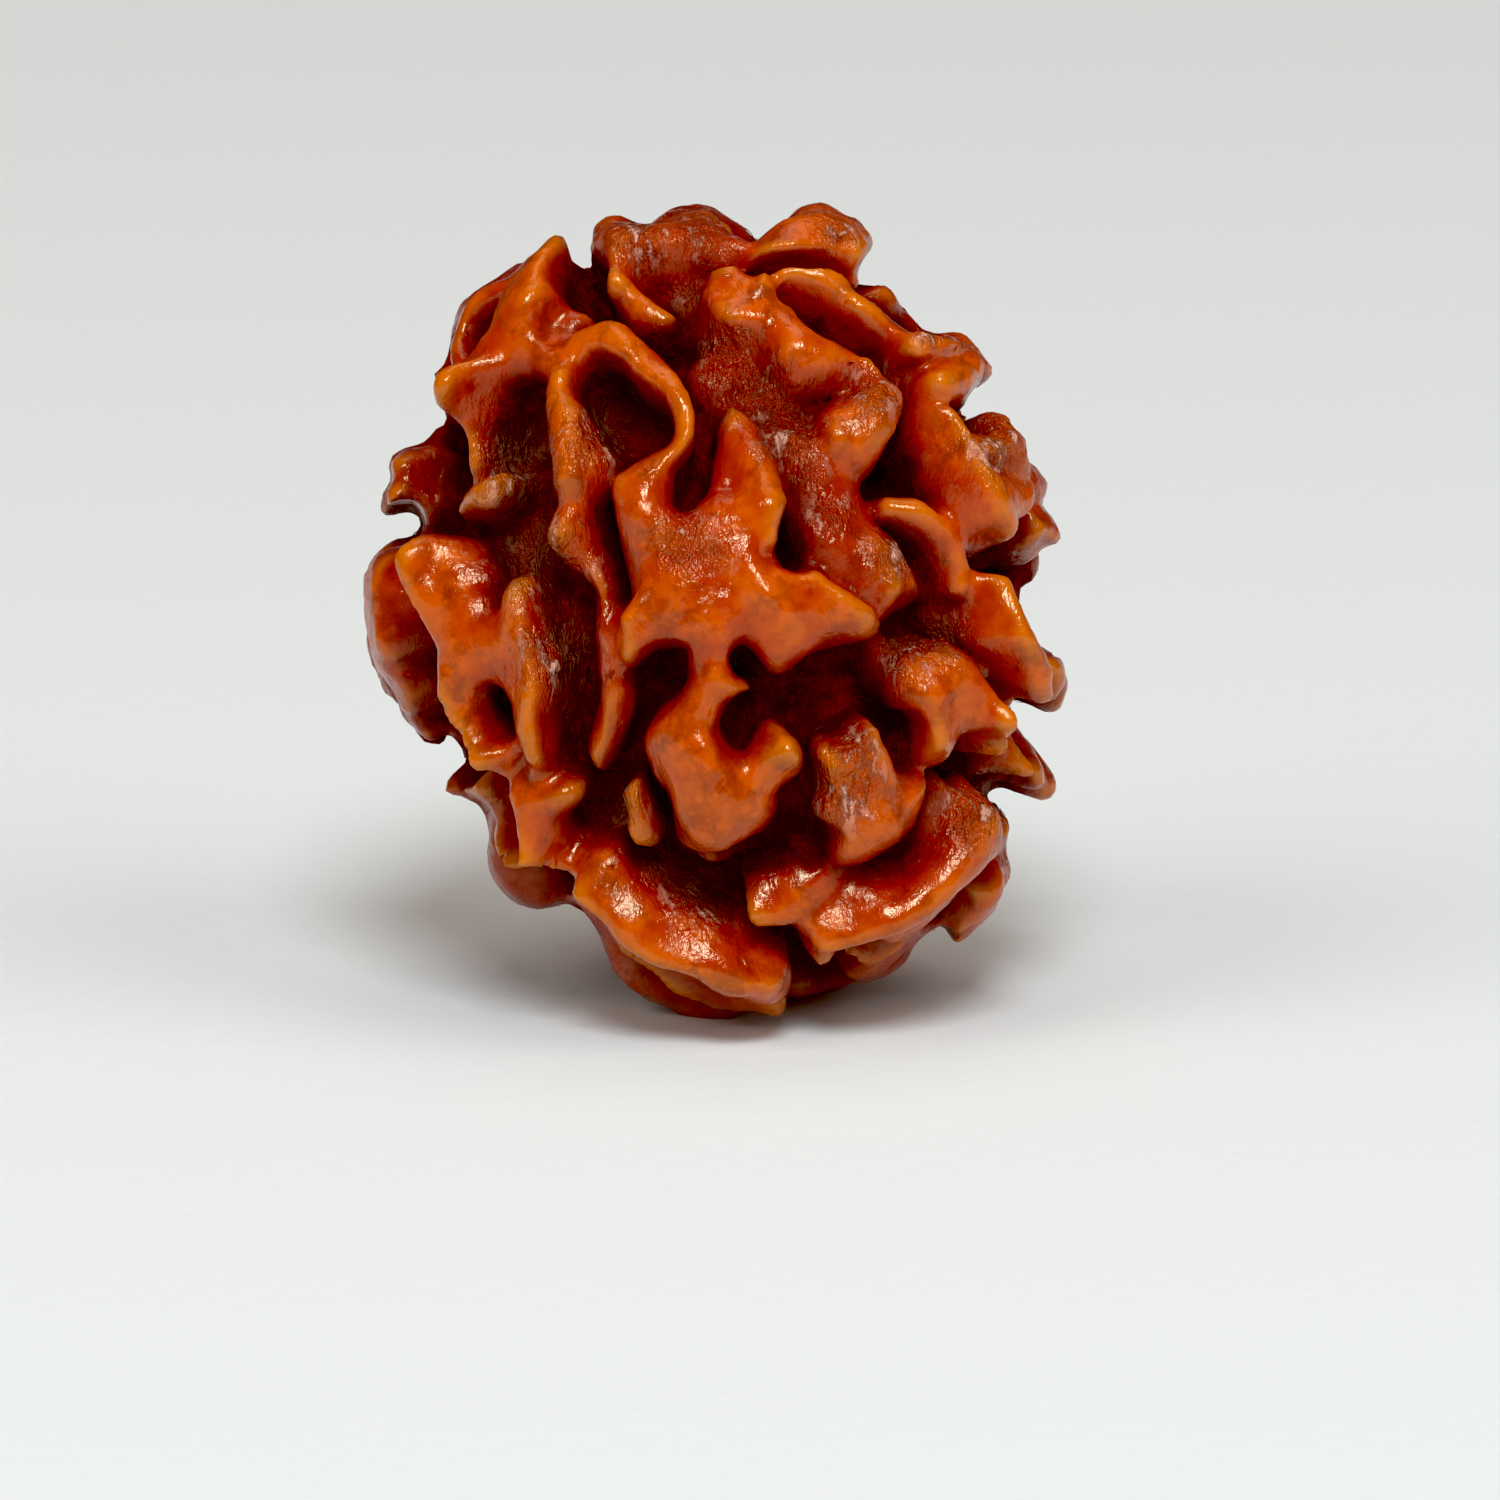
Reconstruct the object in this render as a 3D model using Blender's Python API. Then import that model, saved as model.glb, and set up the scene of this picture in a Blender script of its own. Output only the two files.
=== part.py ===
"""Rudraksha seed: the dried stone of a fruit, grown in one piece and resting on its low lobes.

An egg-shaped core leans in its front plan.  Lobed plates, ridges and rim lobes stand on it, with
pits and winding furrows between them.  The near face follows outlines drawn on the front plan;
the far face is grown by a seeded rule of the same kind.  All lengths are millimetres until the
mesh is made, which is in metres with +Z up.
"""

import math

import bmesh
import bpy
import numpy as np

MM = 0.001

# The front plan: one plan unit is 0.027 mm, so the seed's 820 units stand 22 mm tall.
PLAN_UNIT = 0.027
PLAN_CENTRE = (714.0, 612.0)
PLAN_TILT_DEG = 12.0

# The egg that all lifts are measured from, the way its long axis leans in the plan, and how far
# the floor of the valleys lies under it.
CORE_LONG_RADIUS = 9.3
CORE_ROUND_RADIUS = 7.55
CORE_LEAN_DEG = 15.0
VALLEY_DEPTH = 0.45
TOP_HEIGHT = 3.2

# Height of the core's centre over the flat on which the seed rests.
CENTRE_HEIGHT = 10.5

# How softly the plates run into the core, and how round their edges are.
ROOT_BLEND = 0.32
EDGE_ROUND = 0.6
OUTLINE_GROWTH = 0.1
RIDGE_ROUND = 0.4
FURROW_ROUND = 0.2
FURROW_LIP = 0.25
WALL_FLARE = 0.07
RIM_ROUND = 1.1
RIM_TAPER = 0.2
RIM_ROOT = 0.85
RIM_BULGE = 0.45
RIM_RISE = 0.9
RIM_START = 0.82
WARP_SIZE = 1.5
WARP_DEPTH = 0.14
OUTLINE_ROUND = 0.25

# The mesh.
GRID_STEP = 0.26
GRID_MARGIN = 1.3
TRIANGLE_BUDGET = 11400

# Far-face rule.
FAR_SEED = 7
FAR_WEAVE = 3.0
FAR_FILL = 0.35
FAR_DETAIL = 0.4
FAR_SLOPE = 5.2
FAR_SHELF = 0.15
FAR_VALLEY_DEPTH = 1.3
FAR_LIFT = 1.35
FAR_FRONT = 2.6
FAR_INSET = 0.12
FAR_DOME = 0.045
WAVES = 24

SEED_COLOUR = (0.56, 0.11, 0.010, 1.0)
SEED_ROUGHNESS = 0.32

# The seed's edge on the front plan, clockwise from the notch at the upper left.
EDGE = (
    (578, 265), (586, 248), (590, 228), (600, 216), (617, 214), (635, 219), (648, 222), (662, 212),
    (680, 205), (700, 204), (716, 207), (738, 220), (750, 231), (760, 236), (775, 225), (792, 211),
    (808, 203), (826, 203), (845, 212), (865, 226), (873, 243), (864, 260), (856, 273), (860, 283),
    (884, 283), (896, 292), (910, 313), (924, 327), (945, 326), (962, 329), (980, 341), (990, 356),
    (997, 372), (987, 387), (967, 400), (985, 402), (999, 409), (1012, 408), (1021, 418),
    (1033, 442), (1044, 472), (1050, 490), (1044, 503), (1056, 518), (1064, 538), (1058, 548),
    (1044, 554), (1046, 574), (1038, 586), (1024, 592), (1020, 602), (1026, 622), (1037, 643),
    (1055, 655), (1065, 668), (1069, 690), (1062, 707), (1050, 710), (1028, 703), (1012, 702),
    (1019, 722), (1032, 738), (1046, 762), (1054, 785), (1048, 798), (1037, 800), (1015, 791),
    (999, 786), (990, 795), (1005, 808), (1014, 828), (1013, 846), (1009, 856), (1015, 866),
    (1012, 884), (1001, 908), (985, 927), (970, 941), (958, 949), (948, 941), (941, 930),
    (925, 943), (915, 958), (903, 970), (875, 984), (845, 990), (800, 1000), (787, 1000),
    (782, 1011), (772, 1014), (757, 1010), (745, 1016), (720, 1021), (690, 1018), (660, 1009),
    (636, 994), (618, 972), (606, 951), (597, 932), (583, 915), (566, 907), (545, 911), (520, 906),
    (500, 892), (488, 870), (483, 845), (485, 820), (478, 806), (462, 799), (448, 796), (443, 787),
    (450, 775), (463, 764), (460, 752), (447, 738), (436, 746), (420, 743), (404, 725), (393, 705),
    (385, 688), (370, 660), (363, 630), (360, 600), (359, 580), (366, 560), (382, 545), (400, 538),
    (412, 533), (417, 526), (412, 515), (402, 512), (386, 516), (379, 509), (381, 493), (387, 478),
    (386, 463), (392, 454), (405, 446), (422, 441), (434, 425), (434, 415), (428, 402), (425, 388),
    (429, 372), (441, 360), (445, 340), (451, 318), (459, 299), (480, 284), (502, 275), (520, 261),
    (538, 243), (545, 231), (556, 226), (566, 232), (572, 250),
)

# Plates of the near face: lift over the core, then the outline of the top.
PLATES = {
    "upper left plate": (1.7, (
        (556, 226), (567, 240), (562, 272), (574, 303), (562, 325), (564, 352), (552, 372), (543, 398),
        (528, 372), (505, 380), (488, 396), (470, 402), (458, 440), (452, 468), (440, 430), (427, 402),
        (424, 380), (440, 360), (478, 347), (492, 318), (505, 288), (520, 260), (540, 232))),
    "centre arm": (1.75, (
        (550, 355), (566, 356), (574, 400), (592, 430), (600, 455), (592, 482), (580, 505), (574, 540),
        (560, 552), (546, 540), (553, 505), (549, 470), (543, 430), (539, 392))),
    "arm foot": (1.25, (
        (552, 520), (580, 520), (600, 560), (612, 610), (618, 670), (625, 700), (612, 750), (598, 770),
        (592, 780), (582, 762), (590, 722), (603, 684), (597, 640), (598, 602), (584, 580), (546, 548))),
    "pit lobe": (0.95, (
        (453, 492), (466, 477), (497, 482), (500, 492), (488, 508), (480, 520), (464, 517), (452, 506))),
    "top shoulder": (1.35, (
        (592, 224), (615, 212), (645, 222), (690, 203), (720, 208), (760, 238), (790, 255), (800, 272),
        (765, 282), (705, 262), (672, 268), (640, 262), (600, 268), (588, 250))),
    "top knob": (2.0, (
        (766, 240), (790, 211), (808, 202), (828, 203), (866, 226), (874, 243), (862, 262), (850, 276),
        (815, 272), (785, 262))),
    "shoulder plate": (1.6, (
        (704, 261), (738, 266), (768, 282), (786, 298), (792, 318), (804, 340), (792, 350), (765, 337),
        (743, 318), (726, 298), (714, 278))),
    "long ridge": (1.7, (
        (780, 270), (806, 268), (835, 274), (862, 288), (892, 306), (924, 328), (912, 346), (894, 350),
        (866, 330), (832, 308), (800, 292))),
    "big lobe": (1.85, (
        (794, 328), (818, 324), (846, 336), (872, 352), (884, 372), (902, 398), (908, 422), (900, 448),
        (880, 462), (852, 458), (836, 436), (838, 404), (856, 384), (830, 382), (802, 374), (794, 352))),
    "double lobe": (1.95, (
        (890, 356), (910, 334), (940, 326), (962, 329), (982, 342), (992, 358), (997, 373), (986, 388),
        (968, 401), (935, 404), (905, 403), (896, 388))),
    "right blade": (1.9, (
        (912, 402), (944, 401), (955, 424), (962, 448), (986, 462), (1012, 467), (1030, 477), (1035, 502),
        (1029, 524), (1015, 539), (1001, 533), (984, 510), (964, 485), (946, 462), (932, 440), (918, 420))),
    "outer right lobe": (2.05, (
        (984, 404), (1002, 410), (1013, 408), (1024, 422), (1036, 450), (1046, 472), (1050, 490),
        (1044, 503), (1034, 500), (1028, 476), (1010, 467), (985, 463), (963, 450), (966, 437),
        (986, 430), (996, 416))),
    "small spur": (1.35, (
        (862, 528), (886, 540), (906, 556), (926, 576), (932, 598), (906, 604), (888, 592), (874, 572),
        (862, 552))),
    "saddle": (1.2, (
        (770, 436), (800, 424), (834, 436), (860, 466), (872, 500), (880, 530), (894, 560), (902, 602),
        (884, 618), (850, 598), (822, 574), (806, 552), (804, 510), (790, 470))),
    "rough floor": (0.75, (
        (640, 262), (705, 258), (730, 300), (765, 342), (800, 368), (836, 385), (840, 440), (800, 446),
        (775, 474), (756, 440), (738, 400), (726, 420), (716, 400), (704, 388), (690, 370), (694, 342),
        (684, 322), (650, 296))),
    "twin lobe": (1.85, (
        (916, 664), (936, 655), (964, 658), (994, 673), (1008, 692), (1018, 714), (1022, 742), (1019, 762),
        (1006, 762), (994, 746), (980, 738), (968, 742), (962, 758), (952, 770), (938, 772), (926, 762),
        (919, 740), (916, 712), (912, 686))),
    "lower lobe": (1.85, (
        (813, 750), (828, 744), (848, 746), (868, 724), (882, 742), (896, 768), (908, 790), (930, 789),
        (929, 806), (920, 832), (904, 852), (880, 867), (858, 872), (838, 866), (826, 848), (823, 824),
        (826, 800), (818, 778))),
    "central plate": (1.75, (
        (616, 480), (642, 470), (664, 462), (676, 474), (666, 500), (682, 516), (700, 500), (716, 494),
        (742, 488), (758, 470), (776, 474), (787, 502), (784, 534), (786, 564), (800, 573), (818, 572),
        (836, 586), (856, 602), (880, 620), (868, 634), (846, 641), (820, 651), (800, 664), (782, 672),
        (760, 663), (744, 648), (734, 660), (740, 696), (690, 700), (690, 662), (688, 648), (668, 650),
        (646, 664), (628, 670), (616, 654), (615, 638), (626, 616), (636, 598), (626, 560), (620, 520))),
    "lower plate": (1.8, (
        (704, 660), (726, 668), (738, 686), (752, 698), (732, 708), (720, 724), (723, 740), (734, 758),
        (752, 762), (768, 746), (784, 739), (798, 742), (804, 756), (799, 774), (784, 788), (774, 802),
        (772, 820), (760, 836), (734, 847), (708, 858), (690, 856), (679, 844), (674, 824), (671, 800),
        (658, 780), (649, 760), (650, 744), (664, 720), (680, 694))),
    "left mass": (1.8, (
        (389, 578), (399, 553), (418, 542), (440, 549), (456, 566), (464, 592), (470, 618), (484, 626),
        (498, 608), (510, 587), (520, 608), (526, 650), (536, 682), (542, 720), (543, 758), (533, 776),
        (522, 783), (514, 766), (506, 754), (500, 772), (506, 792), (492, 797), (474, 790), (464, 770),
        (459, 754), (446, 736), (430, 706), (416, 672), (410, 640), (402, 610))),
    "bottom shelf": (1.6, (
        (944, 792), (966, 784), (990, 797), (1006, 810), (1015, 828), (1014, 848), (1003, 865),
        (985, 881), (965, 904), (942, 928), (922, 946), (905, 951), (880, 945), (862, 942), (852, 952),
        (842, 967), (822, 980), (811, 971), (806, 950), (797, 932), (778, 930), (757, 942), (744, 936),
        (741, 920), (750, 902), (776, 893), (820, 880), (870, 886), (912, 884), (938, 862), (940, 826))),
    "furrow fang": (1.5, (
        (626, 797), (637, 793), (646, 825), (644, 850), (633, 862), (621, 850), (620, 825))),
    "valley bud": (0.9, ((699, 858), (722, 853), (730, 868), (716, 882), (702, 880))),
    "valley bud low": (0.95, ((804, 858), (832, 866), (828, 884), (810, 880))),
    "valley spur": (0.7, ((864, 628), (884, 632), (896, 660), (890, 690), (876, 680), (868, 655))),
}

# Plates and ridges raised after the furrows and pits, which they run across.
LATE_PLATES = {
    "left foot": (1.75, (
        (494, 797), (514, 784), (546, 790), (562, 803), (550, 818), (536, 833), (537, 855), (550, 868),
        (564, 884), (557, 897), (530, 888), (515, 866), (508, 840), (502, 815))),
    "bottom blade": (1.9, (
        (561, 893), (566, 883), (582, 876), (597, 874), (612, 889), (628, 905), (652, 919), (678, 930),
        (694, 946), (714, 958), (742, 965), (766, 977), (782, 990), (787, 1002), (780, 1014), (770, 1015),
        (754, 1009), (734, 1003), (700, 985), (670, 966), (640, 956), (614, 946), (597, 931), (580, 913),
        (565, 903))),
}
LATE_RIDGES = {
    "left shin": ((512, 800, 1.8, 0.24), (522, 826, 1.95, 0.26), (522, 862, 1.9, 0.3)),
    "blade crest": (
        (580, 892, 2.0, 0.34), (640, 938, 2.1, 0.4), (700, 968, 2.1, 0.36), (764, 996, 2.1, 0.34)),
}

# Ridges of the near face: points of the crest as (across, down, lift, half width).
RIDGES = {
    "arch": (
        (566, 358, 1.7, 0.36), (580, 340, 1.85, 0.38), (604, 333, 1.95, 0.40), (628, 344, 1.95, 0.42),
        (646, 366, 1.9, 0.42), (668, 388, 1.85, 0.42), (684, 410, 1.8, 0.42), (688, 432, 1.75, 0.42),
        (676, 453, 1.7, 0.42), (654, 470, 1.65, 0.40), (634, 486, 1.7, 0.38)),
    "upper rib": (
        (602, 264, 1.3, 0.26), (620, 284, 1.45, 0.32), (640, 304, 1.4, 0.34), (668, 318, 1.2, 0.3)),
    "central rib": (
        (734, 410, 0.9, 0.24), (746, 444, 1.3, 0.32), (762, 474, 1.8, 0.36), (774, 500, 2.05, 0.34),
        (772, 540, 2.0, 0.30)),
    "plate rib": ((744, 560, 1.9, 0.22), (764, 592, 2.05, 0.24), (786, 618, 2.0, 0.26)),
    "plate edge": (
        (790, 582, 1.9, 0.24), (818, 580, 2.0, 0.24), (840, 602, 2.05, 0.24), (862, 618, 1.95, 0.24)),
    "plate wing": ((646, 600, 1.8, 0.22), (630, 622, 1.95, 0.28), (628, 650, 1.9, 0.3)),
    "lobe crest": (
        (800, 350, 1.95, 0.3), (836, 356, 2.1, 0.34), (868, 366, 2.05, 0.32), (886, 392, 2.05, 0.3)),
    "round bump": ((852, 428, 1.9, 0.5), (876, 424, 2.2, 0.62), (884, 412, 2.1, 0.5)),
    "double crest high": ((902, 350, 1.9, 0.28), (930, 338, 2.2, 0.32), (968, 345, 2.2, 0.32)),
    "double crest low": ((908, 392, 1.9, 0.28), (934, 378, 2.15, 0.28), (972, 372, 2.1, 0.28)),
    "blade edge": (
        (936, 406, 1.9, 0.26), (954, 440, 2.1, 0.26), (974, 474, 2.2, 0.26), (998, 508, 2.25, 0.28)),
    "hook": (
        (896, 507, 1.5, 0.28), (920, 508, 1.8, 0.30), (944, 521, 1.95, 0.32), (961, 542, 1.95, 0.32),
        (968, 565, 1.9, 0.30), (968, 588, 1.8, 0.28)),
    "spur crest": ((874, 544, 1.4, 0.22), (896, 586, 1.6, 0.26)),
    "twin crest": ((950, 664, 1.9, 0.28), (978, 690, 2.1, 0.36), (1000, 722, 2.1, 0.4)),
    "twin left": ((934, 700, 1.9, 0.36), (938, 744, 2.2, 0.42)),
    "lower rib": ((870, 735, 1.7, 0.22), (884, 762, 2.0, 0.26), (896, 786, 2.0, 0.3)),
    "lower belly": ((850, 838, 2.0, 0.5), (884, 826, 2.0, 0.5)),
    "plate bump": ((776, 760, 1.9, 0.34), (790, 755, 2.05, 0.36)),
    "plate belly": ((694, 760, 1.95, 0.6), (712, 820, 2.0, 0.7), (745, 812, 1.95, 0.5)),
    "mass crest": (
        (418, 560, 1.9, 0.5), (436, 600, 2.0, 0.5), (450, 650, 1.95, 0.4), (446, 700, 1.9, 0.34),
        (478, 766, 1.95, 0.36)),
    "mass rib": (
        (510, 600, 1.7, 0.2), (514, 640, 1.85, 0.3), (526, 700, 2.0, 0.3), (530, 760, 2.0, 0.28)),
    "shelf lip": (
        (754, 922, 1.9, 0.34), (800, 914, 1.75, 0.3), (826, 940, 1.9, 0.4), (880, 926, 1.9, 0.4),
        (930, 910, 1.95, 0.4), (972, 872, 1.95, 0.4), (996, 838, 1.95, 0.4)),
    "knob crest": ((800, 222, 2.1, 0.4), (836, 226, 2.25, 0.5), (854, 244, 2.2, 0.4)),
    "arm knob": ((448, 382, 1.95, 0.42), (478, 370, 1.9, 0.4)),
    "arm crest": ((560, 380, 1.95, 0.3), (566, 430, 1.95, 0.4), (566, 480, 1.85, 0.36)),
}

# Lobes on the rim, seen edge on: near and far depth from the core's middle, then the outline.
RIM_LOBES = {
    "left outer lobe": (-2.6, -0.4, (
        (430, 540), (400, 537), (380, 543), (365, 560), (358, 585), (361, 620), (366, 654), (380, 686),
        (396, 700), (420, 690), (440, 640))),
    "left sliver": (-3.6, -1.8, (
        (386, 680), (410, 690), (450, 738), (436, 747), (419, 743), (403, 726), (392, 706))),
    "left small lobe": (-1.6, 0.4, (
        (450, 430), (426, 439), (404, 446), (389, 455), (385, 477), (380, 494), (378, 511), (387, 517),
        (403, 513), (420, 506), (460, 500))),
    "upper left rim": (-2.2, 0.2, (
        (520, 262), (480, 282), (459, 296), (450, 318), (443, 345), (441, 364), (500, 380), (530, 300))),
    "left tip": (-2.2, -0.8, (
        (470, 760), (449, 774), (441, 788), (449, 798), (478, 808), (510, 800), (500, 770))),
    "left heel": (-1.6, 1.2, (
        (482, 802), (504, 796), (560, 800), (600, 850), (600, 910), (566, 908), (545, 912), (518, 906),
        (498, 891), (486, 869), (482, 842))),
    "crown left": (-3.0, -0.6, (
        (590, 262), (590, 228), (600, 215), (617, 213), (636, 219), (648, 222), (650, 280))),
    "crown right": (-2.6, 0.2, (
        (640, 225), (662, 211), (682, 204), (702, 203), (718, 207), (742, 221), (762, 238), (740, 300))),
    "crown knob": (-2.2, 1.0, (
        (764, 240), (790, 211), (808, 202), (828, 203), (866, 226), (874, 243), (862, 264), (852, 300),
        (800, 290))),
    "rim bump": (-2.4, 0.4, (
        (850, 300), (860, 282), (886, 282), (898, 292), (926, 328), (890, 350))),
    "rim flap": (-1.8, -0.2, ((930, 430), (962, 402), (985, 402), (1000, 408), (1000, 440))),
    "right tip high": (-2.4, -0.6, (
        (1000, 500), (1044, 503), (1057, 518), (1065, 538), (1058, 549), (1040, 555), (990, 560))),
    "right tip low": (-2.8, -0.8, (
        (990, 545), (1044, 553), (1047, 574), (1039, 587), (1023, 593), (990, 600))),
    "right fin": (-1.9, 0.6, (
        (980, 570), (1004, 567), (1019, 580), (1024, 612), (1036, 640), (1054, 653), (1066, 668),
        (1070, 690), (1063, 708), (1048, 711), (1028, 704), (1004, 701), (975, 690), (960, 630))),
    "right thorn": (-1.8, 0.2, (
        (990, 700), (1018, 724), (1034, 740), (1047, 762), (1055, 785), (1049, 799), (1036, 801),
        (1014, 792), (985, 782), (960, 760))),
    "right heel": (-2.0, 0.2, (
        (1000, 850), (1010, 855), (1016, 866), (1012, 884), (1002, 908), (986, 928), (970, 942),
        (958, 950), (947, 942), (930, 920), (960, 880))),
    "blade end": (1.4, 3.6, (
        (672, 934), (700, 950), (742, 964), (768, 977), (783, 990), (788, 1002), (781, 1015), (770, 1016),
        (754, 1010), (734, 1004), (700, 986), (670, 967))),
    "front foot": (-0.5, 1.9, (
        (604, 910), (660, 880), (740, 890), (762, 960), (760, 1009), (745, 1018), (720, 1026), (690, 1024),
        (660, 1013), (636, 996), (617, 973), (605, 951))),
    "back middle lobe": (-3.0, -0.4, (
        (780, 900), (850, 900), (856, 980), (830, 998), (800, 1002), (776, 990))),
}

# Low lobes of the far face: the root, then the tip, as (across, up, out) from the core's middle,
# and the half width at the root and at the tip.
FAR_FEET = (
    ((-1.0, -6.4, -3.6), (-1.9, -8.85, -5.1), 1.9, 0.9),
    ((2.8, -6.6, -2.8), (4.0, -9.15, -3.9), 1.8, 0.9),
)

# Pits: (across, down, height of the mouth, radius, depth, stretch across, stretch down).
PITS = (
    (588, 290, 0.8, 0.45, 0.6, 1.0, 1.3),
    (512, 418, 1.2, 0.75, 0.9, 1.0, 1.4),
    (528, 500, 1.0, 0.55, 0.8, 0.8, 1.6),
    (602, 392, 1.3, 0.55, 0.9, 1.1, 1.0),
    (634, 428, 1.0, 0.65, 0.7, 1.2, 1.0),
    (674, 342, 1.0, 0.42, 0.6, 1.3, 0.9),
    (690, 484, 1.3, 0.40, 0.6, 1.0, 1.3),
    (792, 545, 1.2, 0.30, 0.6, 0.8, 1.8),
    (664, 676, 1.2, 0.52, 0.7, 1.1, 1.2),
    (742, 668, 1.2, 0.36, 0.6, 1.0, 1.0),
    (744, 722, 1.2, 0.50, 0.6, 1.0, 1.1),
    (486, 706, 1.9, 0.52, 1.0, 0.9, 1.2),
    (566, 846, 1.7, 0.42, 0.8, 1.0, 1.1),
    (475, 322, 1.4, 0.40, 0.3, 0.9, 1.4),
    (905, 470, 0.9, 0.70, 0.6, 1.4, 0.9),
    (966, 424, 1.4, 0.32, 0.2, 1.0, 1.0),
    (984, 552, 1.2, 0.60, 0.7, 1.4, 0.8),
    (820, 705, 0.8, 0.75, 0.6, 1.2, 1.1),
    (904, 740, 1.2, 0.40, 0.6, 0.8, 1.6),
    (700, 896, 0.8, 0.80, 0.6, 1.2, 1.0),
    (812, 835, 0.8, 0.45, 0.5, 0.9, 1.2),
    (610, 820, 0.8, 0.50, 0.5, 0.9, 1.4),
)

# Furrows that part the seed into segments and the plates from each other: the height at which the
# furrow is seen, then points of the floor as (across, down, height of the floor, half width).
FURROWS = {
    "crown notch": (0.9, ((579, 250, -0.3, 0.16), (582, 270, -0.5, 0.30), (592, 300, -0.6, 0.40))),
    "main furrow": (0.9, (
        (528, 500, -0.6, 0.40), (544, 560, -0.7, 0.30), (560, 600, -0.7, 0.30), (574, 660, -0.8, 0.30),
        (566, 720, -0.8, 0.30), (572, 775, -0.8, 0.30), (600, 816, -0.6, 0.35), (648, 862, -0.7, 0.36),
        (694, 890, -0.8, 0.40), (735, 908, -0.8, 0.32), (772, 934, -0.7, 0.20), (800, 948, -0.7, 0.20))),
    "rough valley": (0.9, ((716, 372, 0.5, 0.25), (708, 420, 0.2, 0.25), (702, 462, -0.2, 0.25))),
    "left lobe step": (1.7, (
        (382, 566, 0.6, 0.18), (392, 606, 0.6, 0.18), (402, 642, 0.6, 0.18), (410, 676, 0.6, 0.16))),
    "arch fold": (1.2, ((574, 316, 1.2, 0.16), (559, 335, 1.3, 0.15), (563, 362, 1.5, 0.14))),
    "knob fold": (1.7, (
        (768, 258, 0.8, 0.16), (806, 262, 0.9, 0.16), (838, 268, 0.9, 0.16), (866, 284, 0.9, 0.16))),
    "ridge fold": (1.6, (
        (790, 302, 0.6, 0.18), (826, 316, 0.5, 0.20), (858, 336, 0.5, 0.20), (882, 350, 0.5, 0.18))),
    "big lobe fold": (1.8, (
        (886, 350, 0.4, 0.18), (897, 376, 0.4, 0.18), (911, 402, 0.4, 0.20), (917, 428, 0.3, 0.22),
        (908, 458, 0.2, 0.25))),
    "double lobe fold": (2.0, ((902, 376, 1.3, 0.15), (930, 362, 1.5, 0.15), (972, 357, 1.8, 0.14))),
    "double lobe step": (1.9, ((914, 405, 0.7, 0.16), (940, 405, 0.9, 0.16), (968, 404, 1.0, 0.18))),
    "blade fold": (1.9, (
        (950, 428, 0.8, 0.20), (966, 452, 1.0, 0.17), (990, 465, 1.2, 0.17), (1014, 470, 1.4, 0.16),
        (1036, 482, 1.5, 0.16))),
    "lower lobe fold": (0.9, ((806, 738, 0.0, 0.18), (808, 790, 0.0, 0.20), (792, 832, 0.0, 0.22))),
    "twin notch": (1.8, ((972, 752, -0.2, 0.26), (980, 786, -0.4, 0.40))),
}

# Far face: bearings of its furrows round the long axis, from the front, and their wandering.
FAR_FURROWS_DEG = (104.0, 155.0, 206.0, 257.0)
FAR_WANDER_DEG = 9.0

# Corners of the six tetrahedra that fill a grid cell; bit 0 is across, bit 1 up, bit 2 out.
TETRAHEDRA = (
    (0, 1, 3, 7), (0, 1, 5, 7), (0, 2, 3, 7), (0, 2, 6, 7), (0, 4, 5, 7), (0, 4, 6, 7),
)


def clear_scene():
    for item in list(bpy.data.objects):
        bpy.data.objects.remove(item, do_unlink=True)


# Soft minimum and maximum of two distance fields.
def blend_min(a, b, size):
    share = np.maximum(size - np.abs(a - b), 0.0) / size
    return np.minimum(a, b) - share * share * size * 0.25


def blend_max(a, b, size):
    return -blend_min(-a, -b, size)


# Smooth seeded noise between -1 and 1, with cells of the given size.
def smooth_noise(points, size, seed):
    table = np.random.default_rng(seed).uniform(-1.0, 1.0, (32, 32, 32))
    scaled = points / size + 100.0
    cell = np.floor(scaled).astype(int)
    part = scaled - cell
    part = part * part * (3.0 - 2.0 * part)
    total = np.zeros(points.shape[:-1])
    for corner in range(8):
        bits = np.array((corner & 1, corner >> 1 & 1, corner >> 2 & 1))
        where = (cell + bits) % 32
        weight = np.prod(np.where(bits == 1, part, 1.0 - part), axis=-1)
        total += weight * table[where[..., 0], where[..., 1], where[..., 2]]
    return total


# Woven noise of about unit spread: waves of one length that run all ways.
def woven_noise(points, length, seed):
    rng = np.random.default_rng(seed)
    total = np.zeros(points.shape[:-1])
    for _ in range(WAVES):
        way = rng.normal(size=3)
        way *= math.tau / length / np.linalg.norm(way)
        total += np.cos(points @ way + rng.uniform(0.0, math.tau))
    return total * math.sqrt(2.0 / WAVES)


# Plan points to millimetres across and up from the core's middle.
def plan_to_mm(points):
    points = np.array(points, dtype=float)
    across = (points[:, 0] - PLAN_CENTRE[0]) * PLAN_UNIT
    up = (PLAN_CENTRE[1] - points[:, 1]) * PLAN_UNIT
    return np.stack((across, up), axis=1)


# Coordinates along the core's long axis, across it and out of the plan.
def core_frame(points):
    lean = math.radians(CORE_LEAN_DEG)
    along = -points[..., 0] * math.sin(lean) + points[..., 1] * math.cos(lean)
    aside = points[..., 0] * math.cos(lean) + points[..., 1] * math.sin(lean)
    return along, aside, points[..., 2]


# Height over the core's surface.
def core_height(points):
    along, aside, out = core_frame(points)
    long_r, round_r = CORE_LONG_RADIUS, CORE_ROUND_RADIUS
    near = np.sqrt((along / long_r) ** 2 + (aside / round_r) ** 2 + (out / round_r) ** 2)
    slope = np.sqrt((along / long_r**2) ** 2 + (aside / round_r**2) ** 2 + (out / round_r**2) ** 2)
    return near * (near - 1.0) / np.maximum(slope, 1e-6)


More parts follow.
